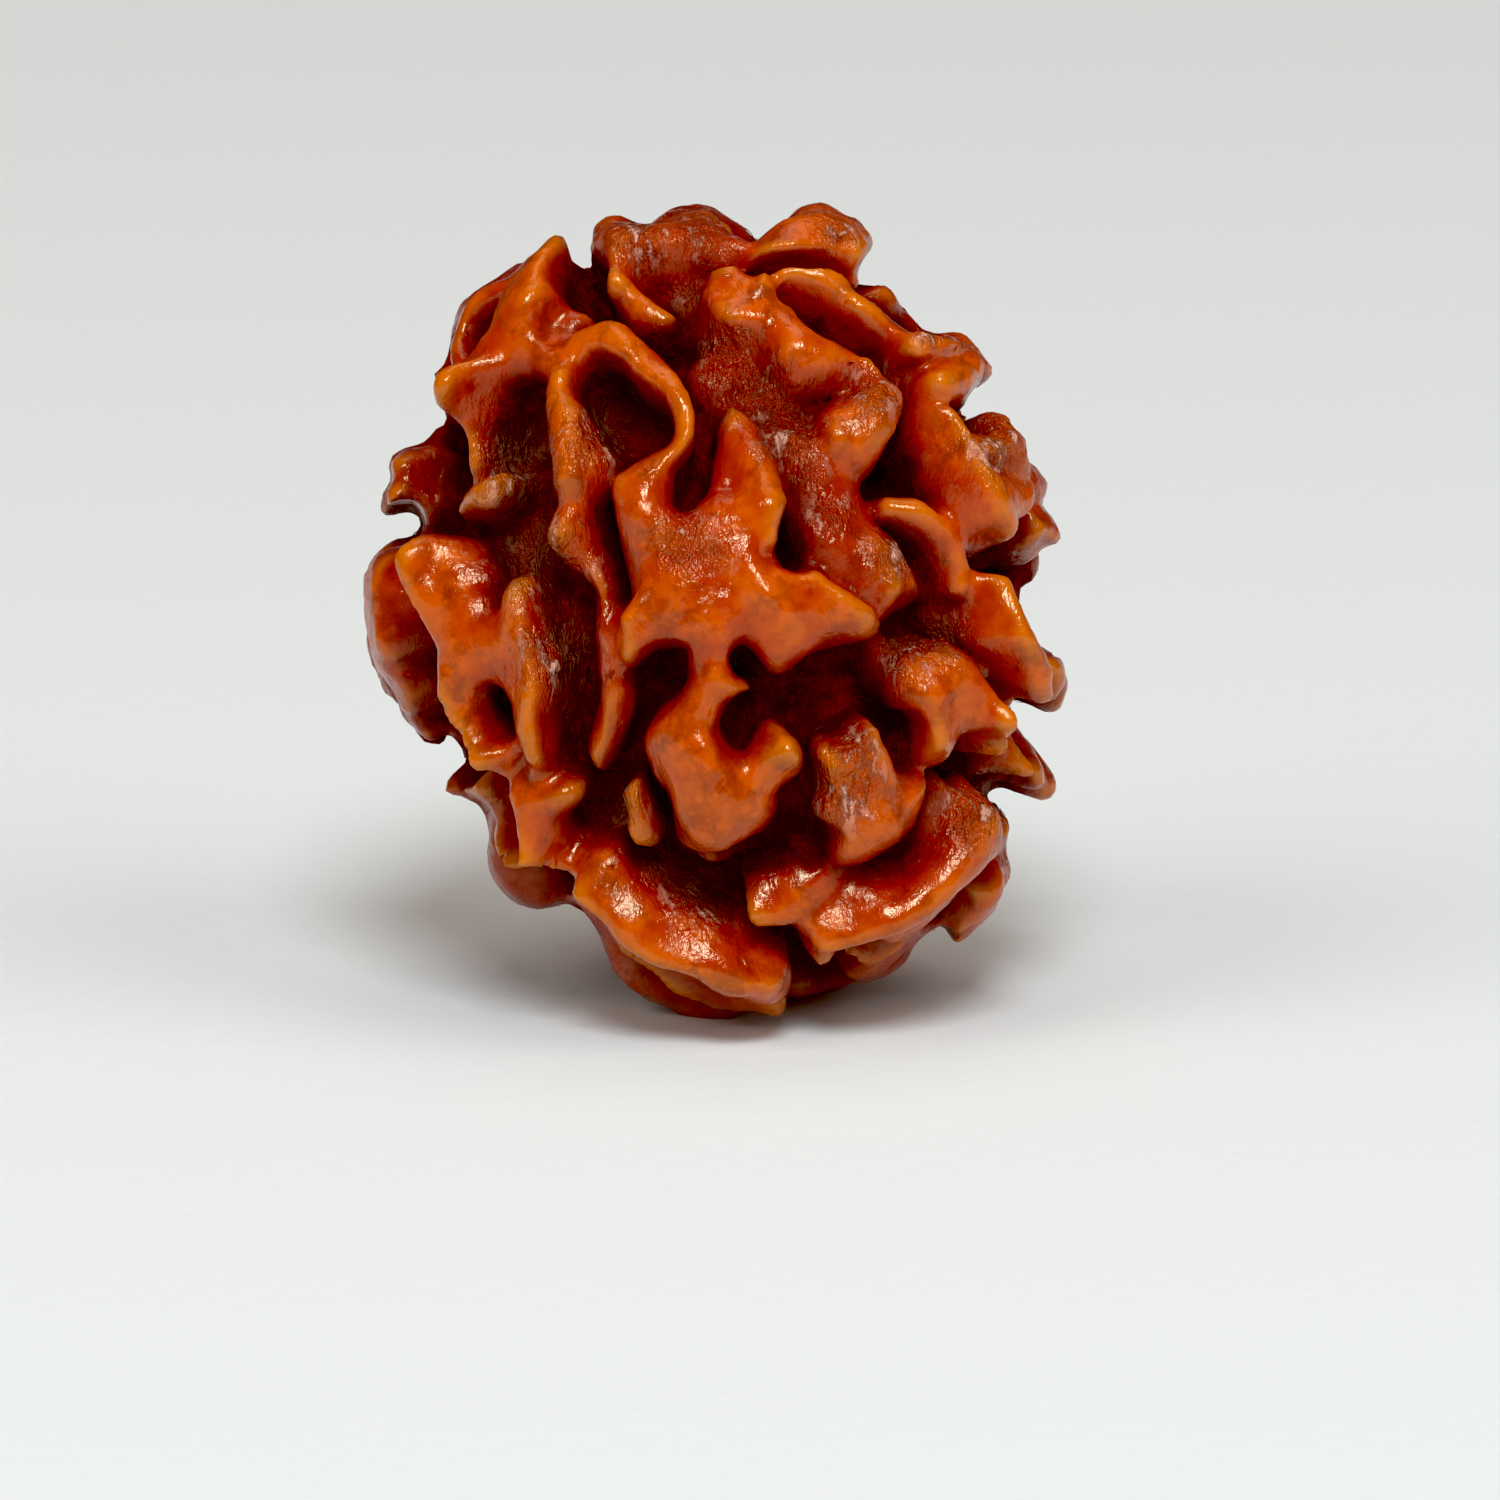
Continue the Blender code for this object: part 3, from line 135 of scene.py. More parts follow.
# Plates of the near face: lift over the core, then the outline of the top.
PLATES = {
    "upper left plate": (1.7, (
        (556, 226), (567, 240), (562, 272), (574, 303), (562, 325), (564, 352), (552, 372), (543, 398),
        (528, 372), (505, 380), (488, 396), (470, 402), (458, 440), (452, 468), (440, 430), (427, 402),
        (424, 380), (440, 360), (478, 347), (492, 318), (505, 288), (520, 260), (540, 232))),
    "centre arm": (1.75, (
        (550, 355), (566, 356), (574, 400), (592, 430), (600, 455), (592, 482), (580, 505), (574, 540),
        (560, 552), (546, 540), (553, 505), (549, 470), (543, 430), (539, 392))),
    "arm foot": (1.25, (
        (552, 520), (580, 520), (600, 560), (612, 610), (618, 670), (625, 700), (612, 750), (598, 770),
        (592, 780), (582, 762), (590, 722), (603, 684), (597, 640), (598, 602), (584, 580), (546, 548))),
    "pit lobe": (0.95, (
        (453, 492), (466, 477), (497, 482), (500, 492), (488, 508), (480, 520), (464, 517), (452, 506))),
    "top shoulder": (1.35, (
        (592, 224), (615, 212), (645, 222), (690, 203), (720, 208), (760, 238), (790, 255), (800, 272),
        (765, 282), (705, 262), (672, 268), (640, 262), (600, 268), (588, 250))),
    "top knob": (2.0, (
        (766, 240), (790, 211), (808, 202), (828, 203), (866, 226), (874, 243), (862, 262), (850, 276),
        (815, 272), (785, 262))),
    "shoulder plate": (1.6, (
        (704, 261), (738, 266), (768, 282), (786, 298), (792, 318), (804, 340), (792, 350), (765, 337),
        (743, 318), (726, 298), (714, 278))),
    "long ridge": (1.7, (
        (780, 270), (806, 268), (835, 274), (862, 288), (892, 306), (924, 328), (912, 346), (894, 350),
        (866, 330), (832, 308), (800, 292))),
    "big lobe": (1.85, (
        (794, 328), (818, 324), (846, 336), (872, 352), (884, 372), (902, 398), (908, 422), (900, 448),
        (880, 462), (852, 458), (836, 436), (838, 404), (856, 384), (830, 382), (802, 374), (794, 352))),
    "double lobe": (1.95, (
        (890, 356), (910, 334), (940, 326), (962, 329), (982, 342), (992, 358), (997, 373), (986, 388),
        (968, 401), (935, 404), (905, 403), (896, 388))),
    "right blade": (1.9, (
        (912, 402), (944, 401), (955, 424), (962, 448), (986, 462), (1012, 467), (1030, 477), (1035, 502),
        (1029, 524), (1015, 539), (1001, 533), (984, 510), (964, 485), (946, 462), (932, 440), (918, 420))),
    "outer right lobe": (2.05, (
        (984, 404), (1002, 410), (1013, 408), (1024, 422), (1036, 450), (1046, 472), (1050, 490),
        (1044, 503), (1034, 500), (1028, 476), (1010, 467), (985, 463), (963, 450), (966, 437),
        (986, 430), (996, 416))),
    "upper left web": (1.45, (
        (442, 364), (444, 334), (454, 302), (478, 284), (508, 268), (532, 250), (544, 290), (530, 340),
        (505, 374), (470, 384))),
    "rib slope": (1.3, (
        (720, 424), (735, 406), (750, 438), (768, 470), (760, 492), (716, 498), (704, 502), (712, 470))),
    "saddle foot": (0.75, (
        (768, 450), (800, 468), (814, 508), (816, 544), (800, 546), (786, 532), (786, 500), (776, 474))),
    "right fin": (1.95, (
        (984, 574), (1000, 568), (1016, 590), (1028, 628), (1044, 655), (1060, 674), (1064, 698),
        (1050, 708), (1040, 690), (1024, 655), (1008, 622), (994, 596))),
    "fin face": (1.2, (
        (952, 612), (990, 598), (1012, 640), (1040, 702), (1012, 694), (990, 676), (966, 648))),
    "small spur": (1.35, (
        (862, 528), (886, 540), (906, 556), (926, 576), (932, 598), (906, 604), (888, 592), (874, 572),
        (862, 552))),
    "saddle": (1.2, (
        (770, 436), (800, 424), (834, 436), (860, 466), (872, 500), (880, 530), (894, 560), (902, 602),
        (884, 618), (850, 598), (822, 574), (806, 552), (804, 510), (790, 470))),
    "rough floor": (0.75, (
        (640, 262), (705, 258), (730, 300), (765, 342), (800, 368), (836, 385), (840, 440), (800, 446),
        (775, 474), (756, 440), (738, 400), (726, 420), (716, 400), (704, 388), (690, 370), (694, 342),
        (684, 322), (650, 296))),
    "twin lobe": (1.85, (
        (916, 664), (936, 655), (964, 658), (994, 673), (1008, 692), (1018, 714), (1022, 742), (1019, 762),
        (1006, 762), (994, 746), (980, 738), (968, 742), (962, 758), (952, 770), (938, 772), (926, 762),
        (919, 740), (916, 712), (912, 686))),
    "lower lobe": (1.85, (
        (813, 750), (828, 744), (848, 746), (868, 724), (882, 742), (896, 768), (908, 790), (930, 789),
        (929, 806), (920, 832), (904, 852), (880, 867), (858, 872), (838, 866), (826, 848), (823, 824),
        (826, 800), (818, 778))),
    "central plate": (1.75, (
        (616, 480), (642, 470), (664, 462), (676, 474), (666, 500), (682, 516), (700, 500), (716, 494),
        (742, 488), (758, 470), (776, 474), (787, 502), (784, 534), (786, 564), (800, 573), (818, 572),
        (836, 586), (856, 602), (880, 620), (868, 634), (846, 641), (820, 651), (800, 664), (782, 672),
        (760, 663), (744, 648), (734, 660), (740, 696), (690, 700), (690, 662), (688, 648), (668, 650),
        (646, 664), (628, 670), (616, 654), (615, 638), (626, 616), (636, 598), (626, 560), (620, 520))),
    "lower plate": (1.8, (
        (704, 660), (726, 668), (738, 686), (752, 698), (732, 708), (720, 724), (723, 740), (734, 758),
        (752, 762), (768, 746), (784, 739), (798, 742), (804, 756), (799, 774), (784, 788), (774, 802),
        (772, 820), (760, 836), (734, 847), (708, 858), (690, 856), (679, 844), (674, 824), (671, 800),
        (658, 780), (649, 760), (650, 744), (664, 720), (680, 694))),
    "left mass": (1.8, (
        (389, 578), (399, 553), (418, 542), (440, 549), (456, 566), (464, 592), (470, 618), (484, 626),
        (498, 608), (510, 587), (520, 608), (526, 650), (536, 682), (542, 720), (543, 758), (533, 776),
        (522, 783), (514, 766), (506, 754), (500, 772), (506, 792), (492, 797), (474, 790), (464, 770),
        (459, 754), (446, 736), (430, 706), (416, 672), (410, 640), (402, 610))),
    "bottom shelf": (1.6, (
        (944, 792), (966, 784), (990, 797), (1006, 810), (1015, 828), (1014, 848), (1003, 865),
        (985, 881), (965, 904), (942, 928), (922, 946), (905, 951), (880, 945), (862, 942), (852, 952),
        (842, 967), (822, 980), (811, 971), (806, 950), (797, 932), (778, 930), (757, 942), (744, 936),
        (741, 920), (750, 902), (776, 893), (820, 880), (870, 886), (912, 884), (938, 862), (940, 826))),
    "furrow fang": (1.5, (
        (626, 797), (637, 793), (646, 825), (644, 850), (633, 862), (621, 850), (620, 825))),
    "valley bud": (0.9, ((699, 858), (722, 853), (730, 868), (716, 882), (702, 880))),
    "valley bud low": (0.95, ((804, 858), (832, 866), (828, 884), (810, 880))),
    "valley spur": (0.7, ((864, 628), (884, 632), (896, 660), (890, 690), (876, 680), (868, 655))),
}

# Plates and ridges raised after the furrows and pits, which they run across.
LATE_PLATES = {
    "left foot": (1.75, (
        (494, 797), (514, 784), (546, 790), (562, 803), (550, 818), (536, 833), (537, 855), (550, 868),
        (564, 884), (557, 897), (530, 888), (515, 866), (508, 840), (502, 815))),
    "bottom blade": (1.9, (
        (561, 893), (566, 883), (582, 876), (597, 874), (612, 889), (628, 905), (652, 919), (678, 930),
        (694, 946), (714, 958), (742, 965), (766, 977), (782, 990), (787, 1002), (780, 1014), (770, 1015),
        (754, 1009), (734, 1003), (700, 985), (670, 966), (640, 956), (614, 946), (597, 931), (580, 913),
        (565, 903))),
}
LATE_RIDGES = {
    "blade shoulder": (
        (930, 406, 1.85, 0.28), (950, 434, 2.05, 0.26), (968, 462, 2.2, 0.24), (986, 490, 2.25, 0.26),
        (1004, 514, 2.2, 0.32), (1012, 526, 2.05, 0.34)),
    "left shin": ((512, 800, 1.8, 0.24), (522, 826, 1.95, 0.26), (522, 862, 1.9, 0.3)),
    "blade crest": (
        (580, 892, 2.0, 0.34), (640, 938, 2.1, 0.4), (700, 968, 2.1, 0.36), (764, 996, 2.1, 0.34)),
}

# Ridges of the near face: points of the crest as (across, down, lift, half width).
RIDGES = {
    "arch": (
        (566, 358, 1.7, 0.36), (580, 340, 1.85, 0.38), (604, 333, 1.95, 0.40), (628, 344, 1.95, 0.42),
        (646, 366, 1.9, 0.42), (668, 388, 1.85, 0.42), (684, 410, 1.8, 0.42), (688, 432, 1.75, 0.42),
        (676, 453, 1.7, 0.42), (654, 470, 1.65, 0.40), (634, 486, 1.7, 0.38)),
    "upper rib": (
        (602, 264, 1.3, 0.26), (620, 284, 1.45, 0.32), (640, 304, 1.4, 0.34), (668, 318, 1.2, 0.3)),
    "central rib": (
        (734, 410, 0.9, 0.24), (746, 444, 1.3, 0.32), (762, 474, 1.8, 0.36), (774, 500, 2.05, 0.34),
        (772, 540, 2.0, 0.30)),
    "plate rib": ((744, 560, 1.9, 0.22), (764, 592, 2.05, 0.24), (786, 618, 2.0, 0.26)),
    "plate edge": (
        (790, 582, 1.9, 0.24), (818, 580, 2.0, 0.24), (840, 602, 2.05, 0.24), (862, 618, 1.95, 0.24)),
    "plate wing": ((646, 600, 1.8, 0.22), (630, 622, 1.95, 0.28), (628, 650, 1.9, 0.3)),
    "lobe crest": (
        (800, 350, 1.95, 0.3), (836, 356, 2.1, 0.34), (868, 366, 2.05, 0.32), (886, 392, 2.05, 0.3)),
    "round bump": ((852, 428, 1.9, 0.5), (876, 424, 2.2, 0.62), (884, 412, 2.1, 0.5)),
    "double crest high": ((902, 350, 1.9, 0.28), (930, 338, 2.2, 0.32), (968, 345, 2.2, 0.32)),
    "double crest low": ((908, 392, 1.9, 0.28), (934, 378, 2.15, 0.28), (972, 372, 2.1, 0.28)),
    "blade edge": (
        (936, 406, 1.9, 0.26), (954, 440, 2.1, 0.26), (974, 474, 2.2, 0.26), (998, 508, 2.25, 0.28)),
    "hook": (
        (896, 507, 1.5, 0.28), (920, 508, 1.8, 0.30), (944, 521, 1.95, 0.32), (961, 542, 1.95, 0.32),
        (968, 565, 1.9, 0.30), (968, 588, 1.8, 0.28)),
    "spur crest": ((874, 544, 1.4, 0.22), (896, 586, 1.6, 0.26)),
    "twin crest": ((950, 664, 1.9, 0.28), (978, 690, 2.1, 0.36), (1000, 722, 2.1, 0.4)),
    "twin left": ((934, 700, 1.9, 0.36), (938, 744, 2.2, 0.42)),
    "lower rib": ((870, 735, 1.7, 0.22), (884, 762, 2.0, 0.26), (896, 786, 2.0, 0.3)),
    "lower belly": ((850, 838, 2.0, 0.5), (884, 826, 2.0, 0.5)),
    "plate bump": ((776, 760, 1.9, 0.34), (790, 755, 2.05, 0.36)),
    "plate belly": ((694, 760, 1.95, 0.6), (712, 820, 2.0, 0.7), (745, 812, 1.95, 0.5)),
    "mass crest": (
        (418, 560, 1.9, 0.5), (436, 600, 2.0, 0.5), (450, 650, 1.95, 0.4), (446, 700, 1.9, 0.34),
        (478, 766, 1.95, 0.36)),
    "mass rib": (
        (510, 600, 1.7, 0.2), (514, 640, 1.85, 0.3), (526, 700, 2.0, 0.3), (530, 760, 2.0, 0.28)),
    "shelf lip": (
        (754, 922, 1.9, 0.34), (800, 914, 1.75, 0.3), (826, 940, 1.9, 0.4), (880, 926, 1.9, 0.4),
        (930, 910, 1.95, 0.4), (972, 872, 1.95, 0.4), (996, 838, 1.95, 0.4)),
    "knob crest": ((800, 222, 2.1, 0.4), (836, 226, 2.25, 0.5), (854, 244, 2.2, 0.4)),
    "arm knob": ((448, 382, 1.95, 0.42), (478, 370, 1.9, 0.4)),
    "shoulder lobe": (
        (728, 288, 1.6, 0.5), (750, 302, 1.85, 0.7), (776, 318, 1.85, 0.5), (800, 344, 1.9, 0.35)),
    "pit rib": ((458, 510, 1.3, 0.2), (478, 497, 1.6, 0.28), (498, 485, 1.5, 0.22)),
    "fin crest": ((1006, 582, 2.0, 0.3), (1024, 634, 2.15, 0.34), (1050, 676, 2.1, 0.36)),
    "blade flank": (
        (920, 410, 1.55, 0.5), (936, 446, 1.55, 0.66), (958, 482, 1.65, 0.7), (988, 516, 1.8, 0.6)),
    "arm crest": ((560, 380, 1.95, 0.3), (566, 430, 1.95, 0.4), (566, 480, 1.85, 0.36)),
}

# Lobes on the rim, seen edge on: near and far depth from the core's middle, then the outline.
RIM_LOBES = {
    "left outer lobe": (-2.6, -0.4, (
        (430, 540), (400, 537), (380, 543), (365, 560), (358, 585), (361, 620), (366, 654), (380, 686),
        (396, 700), (420, 690), (440, 640))),
    "left sliver": (-3.6, -1.8, (
        (386, 680), (410, 690), (450, 738), (436, 747), (419, 743), (403, 726), (392, 706))),
    "left small lobe": (-1.6, 0.4, (
        (450, 430), (426, 439), (404, 446), (389, 455), (385, 477), (380, 494), (378, 511), (387, 517),
        (403, 513), (420, 506), (460, 500))),
    "upper left rim": (-2.2, 0.2, (
        (520, 262), (480, 282), (459, 296), (450, 318), (443, 345), (441, 364), (500, 380), (530, 300))),
    "left tip": (-2.2, -0.8, (
        (470, 760), (449, 774), (441, 788), (449, 798), (478, 808), (510, 800), (500, 770))),
    "left heel": (-1.6, 1.2, (
        (482, 802), (504, 796), (560, 800), (600, 850), (600, 910), (566, 908), (545, 912), (518, 906),
        (498, 891), (486, 869), (482, 842))),
    "crown left": (-3.0, -0.6, (
        (590, 262), (590, 228), (600, 215), (617, 213), (636, 219), (648, 222), (650, 280))),
    "crown right": (-2.6, 0.2, (
        (640, 225), (662, 211), (682, 204), (702, 203), (718, 207), (742, 221), (762, 238), (740, 300))),
    "crown knob": (-2.2, 1.0, (
        (764, 240), (790, 211), (808, 202), (828, 203), (866, 226), (874, 243), (862, 264), (852, 300),
        (800, 290))),
    "rim bump": (-2.4, 0.4, (
        (850, 300), (860, 282), (886, 282), (898, 292), (926, 328), (890, 350))),
    "rim flap": (-1.8, -0.2, ((930, 430), (962, 402), (985, 402), (1000, 408), (1000, 440))),
    "right tip high": (-2.4, -0.6, (
        (1000, 500), (1044, 503), (1057, 518), (1065, 538), (1058, 549), (1040, 555), (990, 560))),
    "right tip low": (-2.8, -0.8, (
        (990, 545), (1044, 553), (1047, 574), (1039, 587), (1023, 593), (990, 600))),
    "right fin": (-1.9, 0.6, (
        (980, 570), (1004, 567), (1019, 580), (1024, 612), (1036, 640), (1054, 653), (1066, 668),
        (1070, 690), (1063, 708), (1048, 711), (1028, 704), (1004, 701), (975, 690), (960, 630))),
    "right thorn": (-1.8, 0.2, (
        (990, 700), (1018, 724), (1034, 740), (1047, 762), (1055, 785), (1049, 799), (1036, 801),
        (1014, 792), (985, 782), (960, 760))),
    "right heel": (-2.0, 0.2, (
        (1000, 850), (1010, 855), (1016, 866), (1012, 884), (1002, 908), (986, 928), (970, 942),
        (958, 950), (947, 942), (930, 920), (960, 880))),
    "blade end": (1.4, 3.6, (
        (672, 934), (700, 950), (742, 964), (768, 977), (783, 990), (788, 1002), (781, 1015), (770, 1016),
        (754, 1010), (734, 1004), (700, 986), (670, 967))),
    "front foot": (-0.5, 1.9, (
        (604, 910), (660, 880), (740, 890), (762, 960), (760, 1009), (745, 1018), (720, 1026), (690, 1024),
        (660, 1013), (636, 996), (617, 973), (605, 951))),
    "back middle lobe": (-3.0, -0.4, (
        (780, 900), (850, 900), (856, 980), (830, 998), (800, 1002), (776, 990))),
}

# Low lobes of the far face: the root, then the tip, as (across, up, out) from the core's middle,
# and the half width at the root and at the tip.
FAR_FEET = (
    ((-1.0, -6.4, -3.6), (-1.9, -8.85, -5.1), 1.9, 0.9),
    ((2.8, -6.6, -2.8), (4.0, -9.15, -3.9), 1.8, 0.9),
)

# Pits: (across, down, height of the mouth, radius, depth, stretch across, stretch down).
PITS = (
    (588, 290, 0.8, 0.45, 0.6, 1.0, 1.3),
    (512, 418, 1.2, 0.75, 0.9, 1.0, 1.4),
    (528, 500, 1.0, 0.55, 0.8, 0.8, 1.6),
    (602, 392, 1.3, 0.55, 0.9, 1.1, 1.0),
    (634, 428, 1.0, 0.65, 0.7, 1.2, 1.0),
    (674, 342, 1.0, 0.42, 0.6, 1.3, 0.9),
    (688, 488, 1.3, 0.34, 0.6, 0.9, 1.4),
    (792, 545, 1.2, 0.30, 0.6, 0.8, 1.8),
    (664, 676, 1.2, 0.52, 0.7, 1.1, 1.2),
    (742, 668, 1.2, 0.36, 0.6, 1.0, 1.0),
    (744, 722, 1.2, 0.50, 0.6, 1.0, 1.1),
    (486, 700, 2.0, 0.62, -1.5, 1.0, 1.2),
    (482, 719, 1.9, 0.52, 0.8, 1.0, 1.15),
    (566, 846, 1.7, 0.42, 0.8, 1.0, 1.1),
    (474, 320, 1.5, 0.50, -0.9, 0.9, 1.6),
    (890, 482, 0.9, 0.45, 0.4, 1.2, 0.9),
    (974, 420, 1.4, 0.30, 0.2, 1.0, 1.0),
    (990, 561, 1.2, 0.55, 0.7, 1.4, 0.65),
    (820, 705, 0.8, 0.75, 0.6, 1.2, 1.1),
    (904, 740, 1.2, 0.40, 0.6, 0.8, 1.6),
    (700, 896, 0.8, 0.80, 0.6, 1.2, 1.0),
    (812, 835, 0.8, 0.45, 0.5, 0.9, 1.2),
    (610, 820, 0.8, 0.50, 0.5, 0.9, 1.4),
)

# Furrows that part the seed into segments and the plates from each other: the height at which the
# furrow is seen, then points of the floor as (across, down, height of the floor, half width).
FURROWS = {
    "crown notch": (0.9, ((579, 250, -0.3, 0.16), (582, 270, -0.5, 0.30), (592, 300, -0.6, 0.40))),
    "main furrow": (0.9, (
        (528, 500, -0.6, 0.40), (544, 560, -0.7, 0.30), (560, 600, -0.7, 0.30), (574, 660, -0.8, 0.30),
        (566, 720, -0.8, 0.30), (572, 775, -0.8, 0.30), (600, 816, -0.6, 0.35), (648, 862, -0.7, 0.36),
        (694, 890, -0.8, 0.40), (735, 908, -0.8, 0.32), (772, 934, -0.7, 0.20), (800, 948, -0.7, 0.20))),
    "rough valley": (0.9, ((716, 372, 0.5, 0.25), (708, 420, 0.2, 0.25), (702, 462, -0.2, 0.25))),
    "left lobe step": (1.7, (
        (382, 566, 0.6, 0.18), (392, 606, 0.6, 0.18), (402, 642, 0.6, 0.18), (410, 676, 0.6, 0.16))),
    "arch fold": (1.2, ((574, 316, 1.2, 0.16), (559, 335, 1.3, 0.15), (563, 362, 1.5, 0.14))),
    "knob fold": (1.7, (
        (768, 258, 0.8, 0.16), (806, 262, 0.9, 0.16), (838, 268, 0.9, 0.16), (866, 284, 0.9, 0.16))),
    "ridge fold": (1.6, (
        (790, 302, 0.6, 0.18), (826, 316, 0.5, 0.20), (858, 336, 0.5, 0.20), (882, 350, 0.5, 0.18))),
    "big lobe fold": (1.8, (
        (886, 350, 0.4, 0.16), (893, 376, 0.4, 0.14), (905, 402, 0.6, 0.12), (907, 428, 0.5, 0.12),
        (894, 458, 0.2, 0.2))),
    "double lobe fold": (2.0, ((902, 376, 1.3, 0.15), (930, 362, 1.5, 0.15), (972, 357, 1.8, 0.14))),
    "double lobe step": (1.9, ((914, 405, 1.2, 0.12), (940, 405, 1.3, 0.12), (968, 404, 1.3, 0.14))),
    "blade fold": (1.9, (
        (964, 449, 1.4, 0.13), (990, 463, 1.5, 0.12), (1014, 469, 1.6, 0.12), (1036, 480, 1.7, 0.12))),
    "lower lobe fold": (0.9, ((806, 738, 0.0, 0.18), (808, 790, 0.0, 0.20), (792, 832, 0.0, 0.22))),
    "twin notch": (1.8, ((972, 752, -0.2, 0.26), (980, 786, -0.4, 0.40))),
}

# Far face: bearings of its furrows round the long axis, from the front, and their wandering.
FAR_FURROWS_DEG = (104.0, 155.0, 206.0, 257.0)
FAR_WANDER_DEG = 9.0

# Corners of the six tetrahedra that fill a grid cell; bit 0 is across, bit 1 up, bit 2 out.
TETRAHEDRA = (
    (0, 1, 3, 7), (0, 1, 5, 7), (0, 2, 3, 7), (0, 2, 6, 7), (0, 4, 5, 7), (0, 4, 6, 7),
)


# Soft minimum and maximum of two distance fields.
def blend_min(a, b, size):
    share = np.maximum(size - np.abs(a - b), 0.0) / size
    return np.minimum(a, b) - share * share * size * 0.25


def blend_max(a, b, size):
    return -blend_min(-a, -b, size)


# Smooth seeded noise between -1 and 1, with cells of the given size.
def smooth_noise(points, size, seed):
    table = np.random.default_rng(seed).uniform(-1.0, 1.0, (32, 32, 32))
    scaled = points / size + 100.0
    cell = np.floor(scaled).astype(int)
    part = scaled - cell
    part = part * part * (3.0 - 2.0 * part)
    total = np.zeros(points.shape[:-1])
    for corner in range(8):
        bits = np.array((corner & 1, corner >> 1 & 1, corner >> 2 & 1))
        where = (cell + bits) % 32
        weight = np.prod(np.where(bits == 1, part, 1.0 - part), axis=-1)
        total += weight * table[where[..., 0], where[..., 1], where[..., 2]]
    return total


# Woven noise of about unit spread: waves of one length that run all ways.
def woven_noise(points, length, seed):
    rng = np.random.default_rng(seed)
    total = np.zeros(points.shape[:-1])
    for _ in range(WAVES):
        way = rng.normal(size=3)
        way *= math.tau / length / np.linalg.norm(way)
        total += np.cos(points @ way + rng.uniform(0.0, math.tau))
    return total * math.sqrt(2.0 / WAVES)


# Plan points to millimetres across and up from the core's middle.
def plan_to_mm(points):
    points = np.array(points, dtype=float)
    across = (points[:, 0] - PLAN_CENTRE[0]) * PLAN_UNIT
    up = (PLAN_CENTRE[1] - points[:, 1]) * PLAN_UNIT
    return np.stack((across, up), axis=1)


# Coordinates along the core's long axis, across it and out of the plan.
def core_frame(points):
    lean = math.radians(CORE_LEAN_DEG)
    along = -points[..., 0] * math.sin(lean) + points[..., 1] * math.cos(lean)
    aside = points[..., 0] * math.cos(lean) + points[..., 1] * math.sin(lean)
    return along, aside, points[..., 2]


# Height over the core's surface.
def core_height(points):
    along, aside, out = core_frame(points)
    long_r, round_r = CORE_LONG_RADIUS, CORE_ROUND_RADIUS
    near = np.sqrt((along / long_r) ** 2 + (aside / round_r) ** 2 + (out / round_r) ** 2)
    slope = np.sqrt((along / long_r**2) ** 2 + (aside / round_r**2) ** 2 + (out / round_r**2) ** 2)
    return near * (near - 1.0) / np.maximum(slope, 1e-6)


# Extra lift towards the edge of the plan, where the lobes are seen from the side.
def rim_rise(points):
    along, aside, _ = core_frame(points)
    reach = np.sqrt((along / (CORE_LONG_RADIUS + 1.0)) ** 2 + (aside / (CORE_ROUND_RADIUS + 1.0)) ** 2)
    share = np.clip((reach - RIM_START) / (1.0 - RIM_START), 0.0, 1.0)
    return RIM_RISE * share * share * (3.0 - 2.0 * share)


# Outward direction of the core under each point.
def core_normal(points):
    lean = math.radians(CORE_LEAN_DEG)
    along, aside, out = core_frame(points)
    along = along / CORE_LONG_RADIUS**2
    aside, out = aside / CORE_ROUND_RADIUS**2, out / CORE_ROUND_RADIUS**2
    across = -along * math.sin(lean) + aside * math.cos(lean)
    up = along * math.cos(lean) + aside * math.sin(lean)
    normal = np.stack((across, up, out), axis=-1)
    return normal / np.maximum(np.linalg.norm(normal, axis=-1, keepdims=True), 1e-9)


# Points brought straight down, or up, to a height over the core.
def to_height(points, height=0.0, rounds=2):
    for _ in range(rounds):
        points = points - core_normal(points) * np.asarray(core_height(points) - height)[..., None]
    return points


# Plan points raised to the near surface of the core grown by a lift.
def raise_points(flat, lift):
    points = np.concatenate((flat, np.zeros((len(flat), 1))), axis=1)
    lift = np.asarray(lift, dtype=float) + rim_rise(points)
    along, aside, _ = core_frame(points)
    left = 1.0 - (along / (CORE_LONG_RADIUS + lift)) ** 2 - (aside / (CORE_ROUND_RADIUS + lift)) ** 2
    points[:, 2] = (CORE_ROUND_RADIUS + lift) * np.sqrt(np.maximum(left, 0.0))
    return points


# A plan chain as points in space with its heights and half widths; a furrow is seen half way up.
def chain_in_space(chain, sight=None):
    chain = np.array(chain, dtype=float)
    seen = chain[:, 2] if sight is None else np.maximum(chain[:, 2], sight)
    return raise_points(plan_to_mm(chain[:, :2]), seen), chain[:, 2], chain[:, 3]


# A smooth closed curve through the points of an outline.
def round_outline(points, parts=3):
    points = np.asarray(points, dtype=float)
    before, after, second = (np.roll(points, shift, axis=0) for shift in (1, -1, -2))
    curve = []
    for i in range(parts):
        t = i / parts
        curve.append(0.5 * (
            2.0 * points + (after - before) * t
            + (2.0 * before - 5.0 * points + 4.0 * after - second) * t * t
            + (3.0 * points - before - 3.0 * after + second) * t * t * t))
    return np.stack(curve, axis=1).reshape(-1, points.shape[-1])


